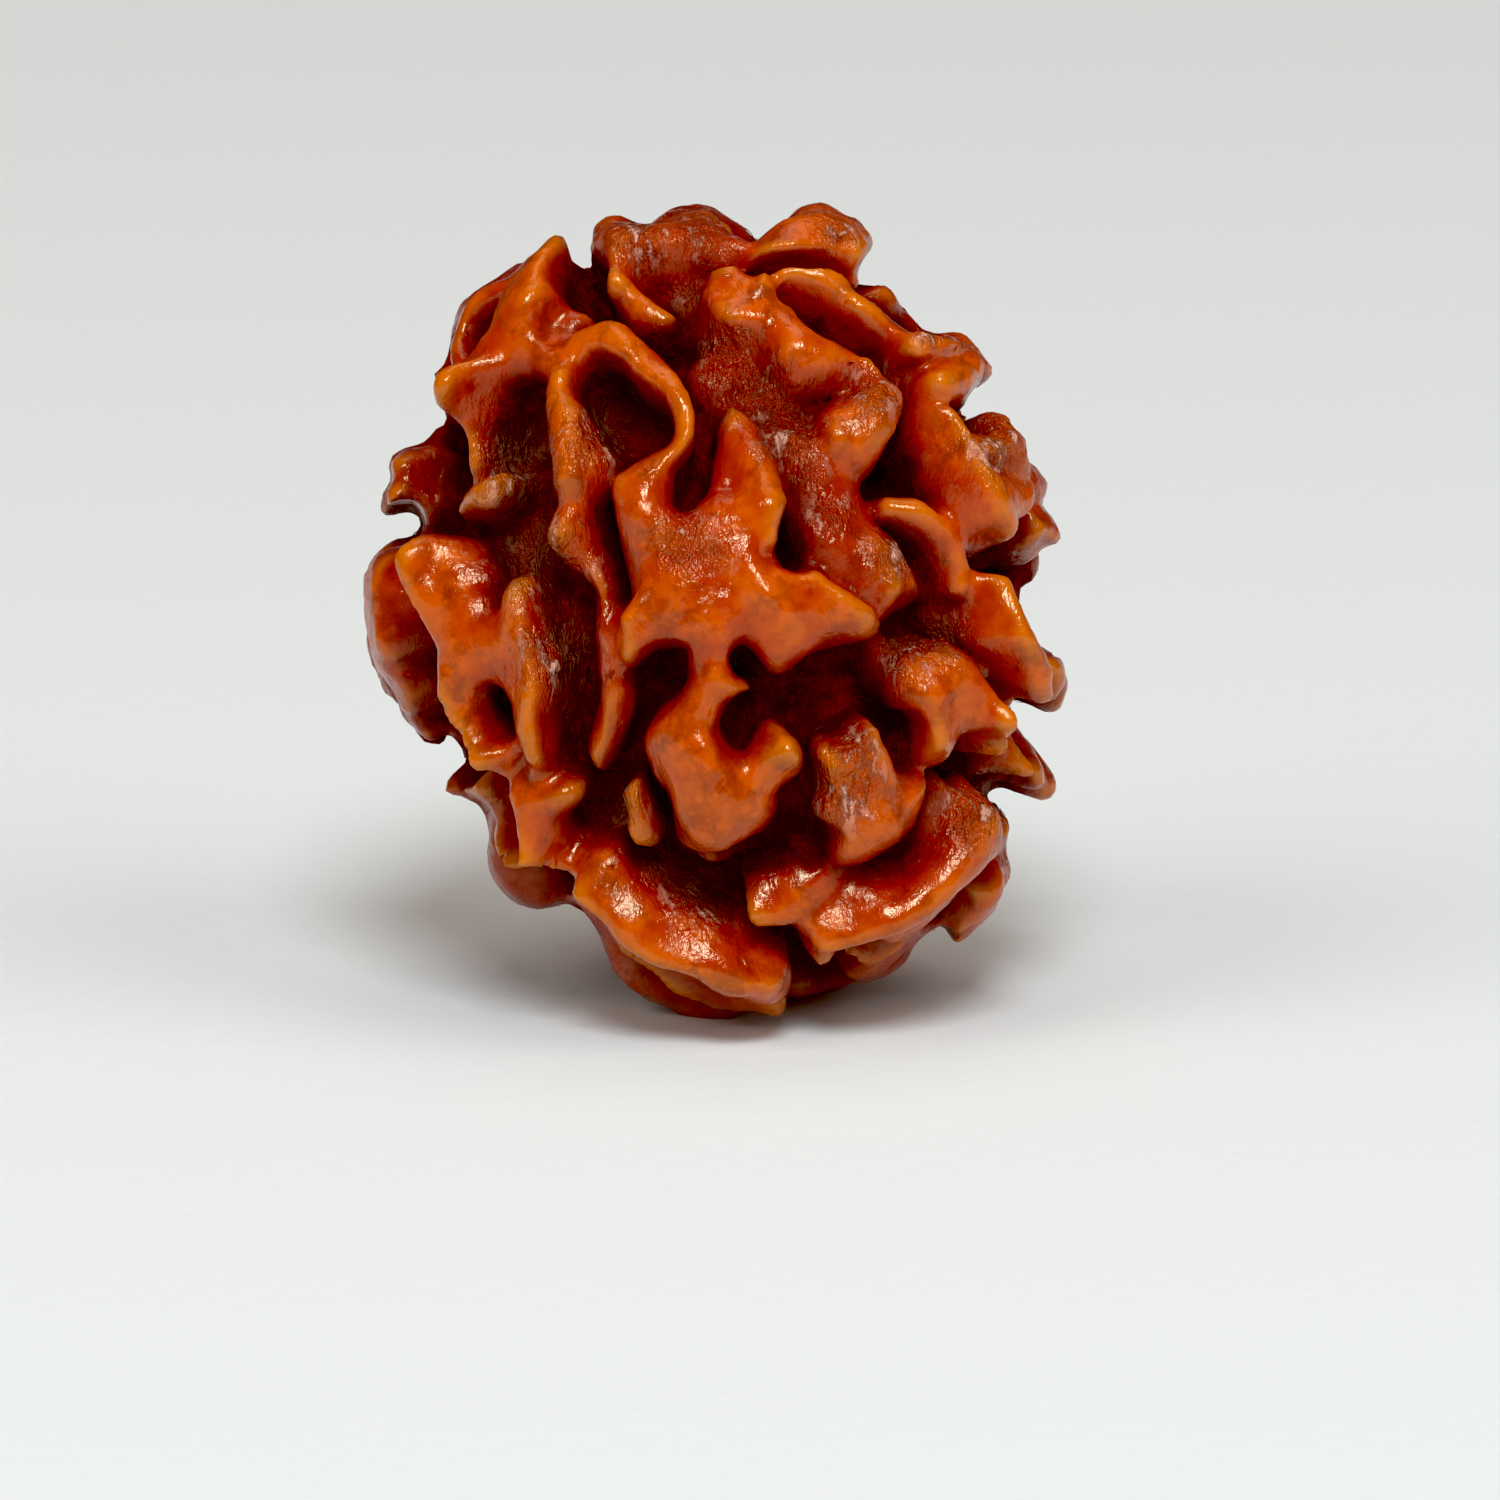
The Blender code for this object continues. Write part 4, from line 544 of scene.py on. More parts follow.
# Signed distance in a plane to a closed outline, negative inside.
def outline_distance(x, y, outline):
    nearest = np.full(x.shape, 1e9)
    inside = np.zeros(x.shape, dtype=bool)
    for (ax, ay), (bx, by) in zip(outline, np.roll(outline, -1, axis=0)):
        ex, ey = bx - ax, by - ay
        px, py = x - ax, y - ay
        share = np.clip((px * ex + py * ey) / max(ex * ex + ey * ey, 1e-12), 0.0, 1.0)
        nearest = np.minimum(nearest, (px - ex * share) ** 2 + (py - ey * share) ** 2)
        crossing = (ay > y) != (by > y)
        if abs(ey) > 1e-12:
            inside ^= crossing & (x < ax + (y - ay) * ex / ey)
    distance = np.sqrt(nearest)
    return np.where(inside, -distance, distance)


# Distance in space to a chain of points, with the chain's own values carried along it.
def chain_distance(points, chain, carried):
    nearest = np.full(points.shape[:-1], 1e9)
    values = np.zeros(points.shape[:-1] + (carried.shape[1],))
    for i in range(len(chain) - 1):
        edge = chain[i + 1] - chain[i]
        offset = points - chain[i]
        share = np.clip((offset @ edge) / max(edge @ edge, 1e-12), 0.0, 1.0)
        distance = np.linalg.norm(offset - share[..., None] * edge, axis=-1)
        here = carried[i] * (1.0 - share[..., None]) + carried[i + 1] * share[..., None]
        closer = distance - here[..., 0] < nearest
        nearest = np.where(closer, distance - here[..., 0], nearest)
        values = np.where(closer[..., None], here, values)
    return nearest, values


# Two directions square to a normal.
def tangent_frame(normal):
    guide = np.array((0.0, 1.0, 0.0)) if abs(normal[1]) < 0.9 else np.array((1.0, 0.0, 0.0))
    first = np.cross(guide, normal)
    first /= np.linalg.norm(first)
    return first, np.cross(normal, first)


class Relief:
    """The seed as a distance field on a regular grid in plan space."""

    def __init__(self, step):
        reach = (CORE_ROUND_RADIUS + 3.2, CORE_LONG_RADIUS + 3.0, CORE_ROUND_RADIUS + 3.2)
        self.step = step
        self.low = -np.array(reach) - GRID_MARGIN * 0.5
        self.count = np.ceil(2.0 * -self.low / step).astype(int) + 1
        lines = [self.low[i] + step * np.arange(self.count[i]) for i in range(3)]
        self.points = np.stack(np.meshgrid(*lines, indexing="ij"), axis=-1)
        self.flat = self.points[:, :, 0, :2].copy()
        for axis in range(3):
            self.points[..., axis] += WARP_DEPTH * smooth_noise(self.points, WARP_SIZE, 11 + axis)
        self.height = core_height(self.points)
        self.rise = rim_rise(self.points)
        self.ground = to_height(self.points)
        self.field = self.height + VALLEY_DEPTH

    # The part of the grid round some points.
    def window(self, around, margin=GRID_MARGIN):
        low = np.floor((around.min(axis=0) - margin - self.low) / self.step).astype(int)
        high = np.ceil((around.max(axis=0) + margin - self.low) / self.step).astype(int) + 1
        low = np.clip(low, 0, self.count)
        high = np.clip(high, 0, self.count)
        return tuple(slice(a, b) for a, b in zip(low, high))

    def add(self, part, shape, blend=ROOT_BLEND):
        self.field[part] = blend_min(self.field[part], shape, blend)

    # A plate: walls that stand square to the core round an outline, under a top at the lift.
    def add_plate(self, lift, outline):
        crest = raise_points(round_outline(plan_to_mm(outline)), lift)
        foot = to_height(crest)
        part = self.window(np.concatenate((crest, foot)))
        middle = foot.mean(axis=0)
        first, second = tangent_frame(core_normal(middle))
        ground, over = self.ground[part] - middle, self.height[part] - self.rise[part] - lift
        plane = np.stack(((foot - middle) @ first, (foot - middle) @ second), axis=1)
        side = outline_distance(ground @ first, ground @ second, plane)
        side = side - OUTLINE_GROWTH + WALL_FLARE * np.minimum(over, 0.0)
        over = over + CROWN * np.clip(1.0 + side / CROWN_WIDTH, 0.0, 1.0) ** 2
        self.add(part, blend_max(side, over, EDGE_ROUND))

    # The part of the grid a chain reaches, the sideways distance to the chain's curtain there, and
    # the height over the chain's own.
    def curtain(self, crest, lift, width):
        foot = to_height(crest)
        part = self.window(np.concatenate((foot, to_height(crest, TOP_HEIGHT))))
        side, carried = chain_distance(self.ground[part], foot, np.stack((width, lift), axis=1))
        return part, side, self.height[part] - self.rise[part] - carried[..., 1]

    # A ridge: a rounded crest over a wall that widens to its root in the core.
    def add_ridge(self, crest, lift, width):
        part, side, over = self.curtain(crest, lift, width)
        side = side + WALL_FLARE * np.minimum(over, 0.0)
        self.add(part, blend_max(side, over, RIDGE_ROUND))

    # A furrow: a ridge turned inside out, cut down to its own floor.
    def cut_furrow(self, crest, floor, width):
        part, side, over = self.curtain(crest, floor, width)
        cut = blend_max(side, -over, FURROW_ROUND)
        self.field[part] = blend_max(self.field[part], -cut, FURROW_LIP)

    # A rim lobe: an upright slab between two depths of the plan, with its root sunk in the core.
    def add_rim_lobe(self, back, front, outline):
        flat = round_outline(plan_to_mm(outline))
        both = np.concatenate((flat, flat * RIM_ROOT))
        part = self.window(np.array(((*both.min(axis=0), back), (*both.max(axis=0), front))))
        points, height = self.points[part], self.height[part]
        side = np.minimum(
            outline_distance(points[..., 0], points[..., 1], flat),
            outline_distance(points[..., 0], points[..., 1], flat * RIM_ROOT))
        half = (front - back) * 0.5
        away = np.abs(points[..., 2] - (back + front) * 0.5)
        thick = away - half + RIM_TAPER * np.clip(height, 0.0, TOP_HEIGHT)
        self.add(part, blend_max(side + RIM_BULGE * (away / half) ** 2, thick, RIM_ROUND))

    # A pit: a round well whose mouth is seen at the height of the tops about it.
    def sink_pit(self, across, down, mouth_height, radius, depth, stretch_across, stretch_down):
        mouth = raise_points(plan_to_mm(((across, down),)), mouth_height)
        middle = to_height(mouth)[0]
        first, second = tangent_frame(core_normal(middle))
        ends = np.concatenate((to_height(mouth, TOP_HEIGHT), to_height(mouth, -depth)))
        part = self.window(ends, margin=radius * 2.0 + 0.8)
        offset = self.ground[part] - middle
        x = (offset @ first) / stretch_across
        y = (offset @ second) / stretch_down
        wall = np.sqrt(x * x + y * y) - radius
        pit = blend_max(wall, -depth - self.height[part], 0.6)
        self.field[part] = blend_max(self.field[part], -pit, 0.5)


# A furrow of the far face, from pole to pole along a wandering bearing.
def cut_far_furrow(relief, bearing, rng):
    lean = math.radians(CORE_LEAN_DEG)
    drift = rng.uniform(-1.0, 1.0, 8)
    chain = []
    for share, off in zip(np.linspace(0.16, 0.84, 8), drift):
        polar = math.pi * share
        turn = math.radians(bearing + FAR_WANDER_DEG * off)
        along, aside = CORE_LONG_RADIUS * math.cos(polar), CORE_ROUND_RADIUS * math.sin(polar)
        side, out = aside * math.sin(turn), aside * math.cos(turn)
        across = -along * math.sin(lean) + side * math.cos(lean)
        chain.append((across, along * math.cos(lean) + side * math.sin(lean), out))
    relief.cut_furrow(np.array(chain), np.full(8, -0.9), 0.24 + 0.06 * drift)


# The far face and the sides: winding walls where a woven noise is high, hollows where it is low.
def grow_far_face(relief):
    ground, height, out = relief.ground, relief.height, relief.points[..., 2]
    weave = woven_noise(ground, FAR_WEAVE, FAR_SEED)
    weave += FAR_DETAIL * woven_noise(ground, FAR_WEAVE * 0.45, FAR_SEED + 1) + FAR_FILL
    from_wall = -weave * FAR_WEAVE / FAR_SLOPE
    front = out - FAR_FRONT + 0.6 * smooth_noise(ground, 3.0, FAR_SEED + 4)
    lift = FAR_LIFT + 0.4 * smooth_noise(ground, 4.0, FAR_SEED + 2)
    lift += 0.45 * np.clip(weave - FAR_FILL, 0.0, 1.4)
    over = height - relief.rise - lift
    edge = round_outline(plan_to_mm(EDGE))
    within = outline_distance(relief.flat[..., 0], relief.flat[..., 1], edge)[:, :, None]
    walls = blend_max(from_wall + WALL_FLARE * np.minimum(over, 0.0), over, EDGE_ROUND)
    walls = blend_max(walls, within + FAR_INSET + FAR_DOME * out * out, EDGE_ROUND)
    relief.field = blend_min(relief.field, np.maximum(walls, front), ROOT_BLEND)
    hollow = np.maximum(FAR_SHELF - from_wall, -FAR_VALLEY_DEPTH - height)
    relief.field = blend_max(relief.field, -np.maximum(hollow, front + 0.5), FURROW_LIP)
    rng = np.random.default_rng(FAR_SEED + 3)
    for bearing in FAR_FURROWS_DEG:
        cut_far_furrow(relief, bearing, rng)
    for foot in FAR_FEET:
        grow_foot(relief, *foot)


def grow_foot(relief, root, tip, root_width, tip_width):
    ends = np.array((root, tip))
    part = relief.window(ends, margin=root_width + 0.8)
    side, _ = chain_distance(relief.points[part], ends, np.array(((root_width,), (tip_width,))))
    relief.add(part, side)


def sculpt(step):
    relief = Relief(step)
    grow_far_face(relief)
    for lift, outline in PLATES.values():
        relief.add_plate(lift, outline)
    for crest in RIDGES.values():
        relief.add_ridge(*chain_in_space(crest))
    for sight, floor in FURROWS.values():
        relief.cut_furrow(*chain_in_space(floor, sight))
    for pit in PITS:
        relief.sink_pit(*pit)
    for lift, outline in LATE_PLATES.values():
        relief.add_plate(lift, outline)
    for crest in LATE_RIDGES.values():
        relief.add_ridge(*chain_in_space(crest))
    for back, front, outline in RIM_LOBES.values():
        relief.add_rim_lobe(back, front, outline)
    edge = round_outline(plan_to_mm(EDGE))
    within = outline_distance(relief.flat[..., 0], relief.flat[..., 1], edge)[:, :, None]
    relief.field = blend_max(relief.field, np.broadcast_to(within, relief.field.shape), OUTLINE_ROUND)
    keep_one_body(relief.field)
    return relief


# Spread from a start through the allowed grid points, face by face.
def flood(allowed, start):
    reached = np.zeros(allowed.shape, dtype=bool)
    reached[start] = True
    size = 0
    while size != np.count_nonzero(reached):
        size = np.count_nonzero(reached)
        for _ in range(8):
            grown = reached.copy()
            for axis in range(3):
                ahead = [slice(None)] * 3
                behind = [slice(None)] * 3
                ahead[axis], behind[axis] = slice(1, None), slice(None, -1)
                grown[tuple(ahead)] |= reached[tuple(behind)]
                grown[tuple(behind)] |= reached[tuple(ahead)]
            reached = grown & allowed
    return reached


# Closed hollows are filled and loose crumbs are dropped.
def keep_one_body(field):
    air = flood(field > 0.0, (0, 0, 0))
    field[(field > 0.0) & ~air] = -0.05
    middle = tuple(n // 2 for n in field.shape)
    body = flood(field <= 0.0, middle)
    field[(field <= 0.0) & ~body] = 0.05


# Surface of the field by cutting each cell's tetrahedra.
def cut_surface(field, low, step):
    nx, ny, nz = field.shape
    inside = (field <= 0.0).ravel()
    numbers = np.arange(field.size).reshape(field.shape)
    corners = np.stack([
        numbers[i:nx - 1 + i, j:ny - 1 + j, k:nz - 1 + k].ravel()
        for k in range(2) for j in range(2) for i in range(2)
    ], axis=1)
    filled = inside[corners].sum(axis=1)
    corners = corners[(filled > 0) & (filled < 8)]
    triangles = []
    for tetra in TETRAHEDRA:
        ids = corners[:, tetra]
        order = np.argsort(~inside[ids], axis=1, kind="stable")
        ids = np.take_along_axis(ids, order, axis=1)
        full = inside[ids].sum(axis=1)
        for amount, faces in (
            (1, (((0, 1), (0, 2), (0, 3)),)),
            (2, (((0, 2), (0, 3), (1, 3)), ((0, 2), (1, 3), (1, 2)))),
            (3, (((0, 3), (1, 3), (2, 3)),)),
        ):
            chosen = ids[full == amount]
            for face in faces:
                triangles.append(np.stack([chosen[:, pair] for pair in face], axis=1))
    triangles = np.concatenate(triangles)
    inner, outer = triangles[..., 0], triangles[..., 1]
    keys = np.minimum(inner, outer) * field.size + np.maximum(inner, outer)
    unique, first, joined = np.unique(keys.ravel(), return_index=True, return_inverse=True)
    a, b = inner.ravel()[first], outer.ravel()[first]
    values = field.ravel()
    share = np.clip(values[a] / (values[a] - values[b]), 0.08, 0.92)
    position_a = np.stack(np.unravel_index(a, field.shape), axis=1)
    position_b = np.stack(np.unravel_index(b, field.shape), axis=1)
    points = low + step * (position_a * (1.0 - share[:, None]) + position_b * share[:, None])
    faces = joined.reshape(-1, 3)
    p = points[faces]
    normal = np.cross(p[:, 1] - p[:, 0], p[:, 2] - p[:, 0])
    outward = np.stack(np.unravel_index(outer[:, 0], field.shape), axis=1)
    outward = outward - np.stack(np.unravel_index(inner[:, 0], field.shape), axis=1)
    flip = np.einsum("ij,ij->i", normal, outward.astype(float)) < 0.0
    faces[flip] = faces[flip][:, ::-1]
    return points, faces


# From plan space to the world: the plan is seen from a little above level.
def plan_to_world(points):
    tilt = math.radians(PLAN_TILT_DEG)
    across, up, out = points[:, 0], points[:, 1], points[:, 2]
    world_y = up * math.sin(tilt) - out * math.cos(tilt)
    world_z = up * math.cos(tilt) + out * math.sin(tilt) + CENTRE_HEIGHT
    return np.stack((across, world_y, world_z), axis=1)


def make_mesh(name, points, faces):
    mesh = bpy.data.meshes.new(name)
    mesh.vertices.add(len(points))
    mesh.vertices.foreach_set("co", points.ravel())
    mesh.loops.add(faces.size)
    mesh.loops.foreach_set("vertex_index", faces.ravel().astype(np.int32))
    mesh.polygons.add(len(faces))
    mesh.polygons.foreach_set("loop_start", np.arange(0, faces.size, 3, dtype=np.int32))
    mesh.update(calc_edges=True)
    mesh.validate()
    return mesh


def add_modifier(item, kind, name, **settings):
    modifier = item.modifiers.new(name, kind)
    for key, value in settings.items():
        setattr(modifier, key, value)
    return modifier


# The mesh that an object's modifiers give.
def finished_mesh(item):
    graph = bpy.context.evaluated_depsgraph_get()
    return bpy.data.meshes.new_from_object(item.evaluated_get(graph))


def thin_out(mesh, budget):
    item = bpy.data.objects.new("rough_seed", mesh)
    bpy.context.scene.collection.objects.link(item)
    add_modifier(item, "SMOOTH", "ease", factor=0.5, iterations=2)
    add_modifier(item, "DECIMATE", "thin", ratio=budget / len(mesh.polygons))
    thinned = finished_mesh(item)
    bpy.data.objects.remove(item, do_unlink=True)
    return thinned


# Finer than the solid: the grid's step and the triangles of the finished piece.
FINE_STEP = 0.17
FINE_TRIANGLES = 180000

# Blur radii for how open the surface lies, and how sharp its edges are.
OPEN_RADIUS = 1.15
EDGE_RADIUS = 0.34

# Patches where the skin has come away and the fibres show, with pale painted highlights laid on them: (across, down,
# radius) on the plan.
ROUGH_PATCHES = (
    (690, 300, 16), (722, 354, 24), (760, 400, 30), (788, 440, 26), (806, 478, 16), (830, 520, 18),
    (846, 790, 34), (856, 750, 22), (904, 652, 26), (940, 640, 22), (972, 812, 30), (1002, 450, 34),
    (890, 560, 20), (520, 470, 40), (545, 560, 40), (560, 660, 36), (600, 440, 30), (620, 800, 24),
    (700, 890, 30), (660, 860, 20), (640, 240, 26), (705, 236, 26), (680, 546, 24), (872, 398, 22), (930, 336, 14), (836, 236, 18), (716, 560, 14),
)


# Patches of low ground where grime and loose fibre collect; the finish paints them darker, partly as grime and partly
# as painted shade.
STAIN_AND_SHADE_PATCHES = (
    (506, 420, 48), (528, 500, 44), (484, 540, 38), (560, 610, 34), (572, 700, 36), (590, 790, 46),
    (610, 396, 36), (690, 484, 20), (664, 676, 26), (744, 668, 18), (746, 722, 24), (487, 704, 26),
    (820, 700, 50), (905, 740, 26), (650, 850, 44), (705, 895, 50), (770, 930, 36), (898, 476, 26),
    (972, 552, 26), (930, 604, 22), (590, 286, 22), (674, 342, 20), (640, 246, 24), (790, 545, 14),
    (812, 845, 34), (560, 846, 22), (540, 800, 22), (956, 770, 26), (474, 322, 24), (1000, 640, 36),
    (980, 600, 24), (1020, 660, 24), (936, 500, 24), (640, 510, 16),
)

# The photo's deep shadows hold red but no green or blue.
BLACK_LEVEL = (0.0, 0.011, 0.015)

# Loose fibres: points a square millimetre, length and thickness in millimetres.
FIBRE_DENSITY = 8.4
FIBRE_LENGTH = 0.42
FIBRE_RADIUS = 0.013


def linear(hex_colour):
    parts = [int(hex_colour[i:i + 2], 16) / 255.0 for i in (0, 2, 4)]
    return tuple(c / 12.92 if c <= 0.04045 else ((c + 0.055) / 1.055) ** 2.4 for c in parts) + (1.0,)


# One node with its settings, and its inputs linked or set, by name or by number.
def add_node(tree, kind, inputs=(), **settings):
    node = tree.nodes.new(kind)
    for key, value in settings.items():
        setattr(node, key, value)
    for key, value in dict(inputs).items():
        if isinstance(value, bpy.types.NodeSocket):
            tree.links.new(value, node.inputs[key])
        else:
            node.inputs[key].default_value = value
    return node


# Mean of a grid over a box, run twice for a softer edge.
def blurred(grid, radius, step):
    reach = max(1, int(round(radius / step)))
    for axis in (0, 1, 2) * 2:
        grid = np.moveaxis(grid, axis, 0)
        pad = np.concatenate((np.repeat(grid[:1], reach + 1, axis=0), grid, np.repeat(grid[-1:], reach, axis=0)))
        total = np.cumsum(pad, axis=0)
        grid = (total[2 * reach + 1:] - total[:-2 * reach - 1]) / (2 * reach + 1)
        grid = np.moveaxis(grid, 0, axis)
    return grid


# Values of a grid at points of plan space.
def sampled(grid, points, relief):
    place = np.clip((points - relief.low) / relief.step, 0.0, np.array(grid.shape) - 1.001)
    cell = place.astype(int)
    part = place - cell
    total = np.zeros(len(points))
    for corner in range(8):
        bits = np.array((corner & 1, corner >> 1 & 1, corner >> 2 & 1))
        weight = np.prod(np.where(bits == 1, part, 1.0 - part), axis=1)
        x, y, z = (cell + bits).T
        total += weight * grid[x, y, z]
    return total


def vertex_array(mesh, field="co", size=3):
    values = np.empty(len(mesh.vertices) * size)
    mesh.vertices.foreach_get(field, values)
    return values.reshape(-1, size)


def spots(points, patches):
    flat = points[:, :2]
    total = np.zeros(len(points))
    for across, down, radius in patches:
        middle = plan_to_mm(((across, down),))[0]
        away = np.linalg.norm(flat - middle, axis=1) / (radius * PLAN_UNIT)
        total = np.maximum(total, np.exp(-away * away))
    return total * (points[:, 2] > 0.0)


# What the finish reads at each point of the surface.
def skin_values(mesh, relief):
    points = vertex_array(mesh)
    normals = vertex_array(mesh, "normal")
    solid = (relief.field <= 0.0).astype(np.float32)
    height = sampled(relief.height - relief.rise, points, relief)
    far = np.clip(0.5 - points[:, 2] / 3.0, 0.0, 1.0)
    fibrous = np.clip(woven_noise(points, 4.5, 31) * 0.7 - 0.35, 0.0, 1.0) * far
    # Darker patches, and the whole far side: partly grime, partly painted shade.
    stain_and_shade = np.maximum(spots(points, STAIN_AND_SHADE_PATCHES), far)
    opened = 1.0 - sampled(blurred(solid, OPEN_RADIUS, relief.step), points, relief)
    hollow = stain_and_shade * np.clip(1.0 - height / 0.9, 0.0, 1.0) * np.clip((0.62 - opened) / 0.15, 0.0, 1.0)
    return {
        "height": height,
        "hollow": hollow,
        "open": opened,
        "edge": 1.0 - sampled(blurred(solid, EDGE_RADIUS, relief.step), points, relief),
        "facing": np.einsum("ij,ij->i", normals, core_normal(points)),
        "rough": np.maximum(spots(points, ROUGH_PATCHES), fibrous),
        "stain_and_shade": stain_and_shade,
    }


def keep_values(mesh, values):
    for name, numbers in values.items():
        mesh.attributes.new(name, "FLOAT", "POINT").data.foreach_set("value", numbers.astype(np.float32))


# Everything under the resting level is cut off and the cut is closed flat.
def level_feet(mesh):
    body = bmesh.new()
    body.from_mesh(mesh)
    shape = body.verts[:] + body.edges[:] + body.faces[:]
    cut = bmesh.ops.bisect_plane(
        body, geom=shape, plane_co=(0.0, 0.0, 0.0), plane_no=(0.0, 0.0, 1.0), clear_inner=True)
    rim = [item for item in cut["geom_cut"] if isinstance(item, bmesh.types.BMEdge)]
    caps = bmesh.ops.holes_fill(body, edges=rim)["faces"]
    bmesh.ops.triangulate(body, faces=caps)
    body.to_mesh(mesh)
    body.free()


# Fine relief: lumps over the whole skin and a coarser fibre where it is rough, along the normals.
def fibre_relief_tree():
    tree = bpy.data.node_groups.new("fibre relief", "GeometryNodeTree")
    face = tree.interface
    face.new_socket("Geometry", in_out="INPUT", socket_type="NodeSocketGeometry")
    for name in ("Lump Size", "Lump Depth", "Fibre Size", "Fibre Depth"):
        face.new_socket(name, in_out="INPUT", socket_type="NodeSocketFloat")
    face.new_socket("Material", in_out="INPUT", socket_type="NodeSocketMaterial")
    face.new_socket("Geometry", in_out="OUTPUT", socket_type="NodeSocketGeometry")
    given = add_node(tree, "NodeGroupInput").outputs
    place = add_node(tree, "GeometryNodeInputPosition").outputs[0]
    normal = add_node(tree, "GeometryNodeInputNormal").outputs[0]
    rough = add_node(tree, "GeometryNodeInputNamedAttribute", {"Name": "rough"}, data_type="FLOAT").outputs[0]

    def wave(size, depth, detail):
        scale = add_node(tree, "ShaderNodeMath", {0: 1.0, 1: size}, operation="DIVIDE").outputs[0]
        noise = add_node(tree, "ShaderNodeTexNoise", {"Vector": place, "Scale": scale, "Detail": detail}).outputs[0]
        middle = add_node(tree, "ShaderNodeMath", {0: noise, 1: 0.5}, operation="SUBTRACT").outputs[0]
        return add_node(tree, "ShaderNodeMath", {0: middle, 1: depth}, operation="MULTIPLY").outputs[0]

    lumps = wave(given["Lump Size"], given["Lump Depth"], 2.0)
    fibres = wave(given["Fibre Size"], given["Fibre Depth"], 3.0)
    fibres = add_node(tree, "ShaderNodeMath", {0: fibres, 1: rough}, operation="MULTIPLY").outputs[0]
    rise = add_node(tree, "ShaderNodeMath", {0: lumps, 1: fibres}, operation="ADD").outputs[0]
    above = add_node(tree, "ShaderNodeSeparateXYZ", {0: place}).outputs[2]
    off_ground = add_node(tree, "FunctionNodeCompare", {0: above, 1: 0.00005}, operation="GREATER_THAN").outputs[0]
    offset = add_node(tree, "ShaderNodeVectorMath", {0: normal, "Scale": rise}, operation="SCALE").outputs[0]
    moved = add_node(tree, "GeometryNodeSetPosition", {
        "Geometry": given["Geometry"], "Selection": off_ground, "Offset": offset}).outputs[0]
    real = add_node(tree, "GeometryNodeRealizeInstances", {"Geometry": moved}).outputs[0]
    dressed = add_node(tree, "GeometryNodeSetMaterial", {
        "Geometry": real, "Material": given["Material"]}).outputs[0]
    add_node(tree, "NodeGroupOutput", {"Geometry": dressed})
    return tree
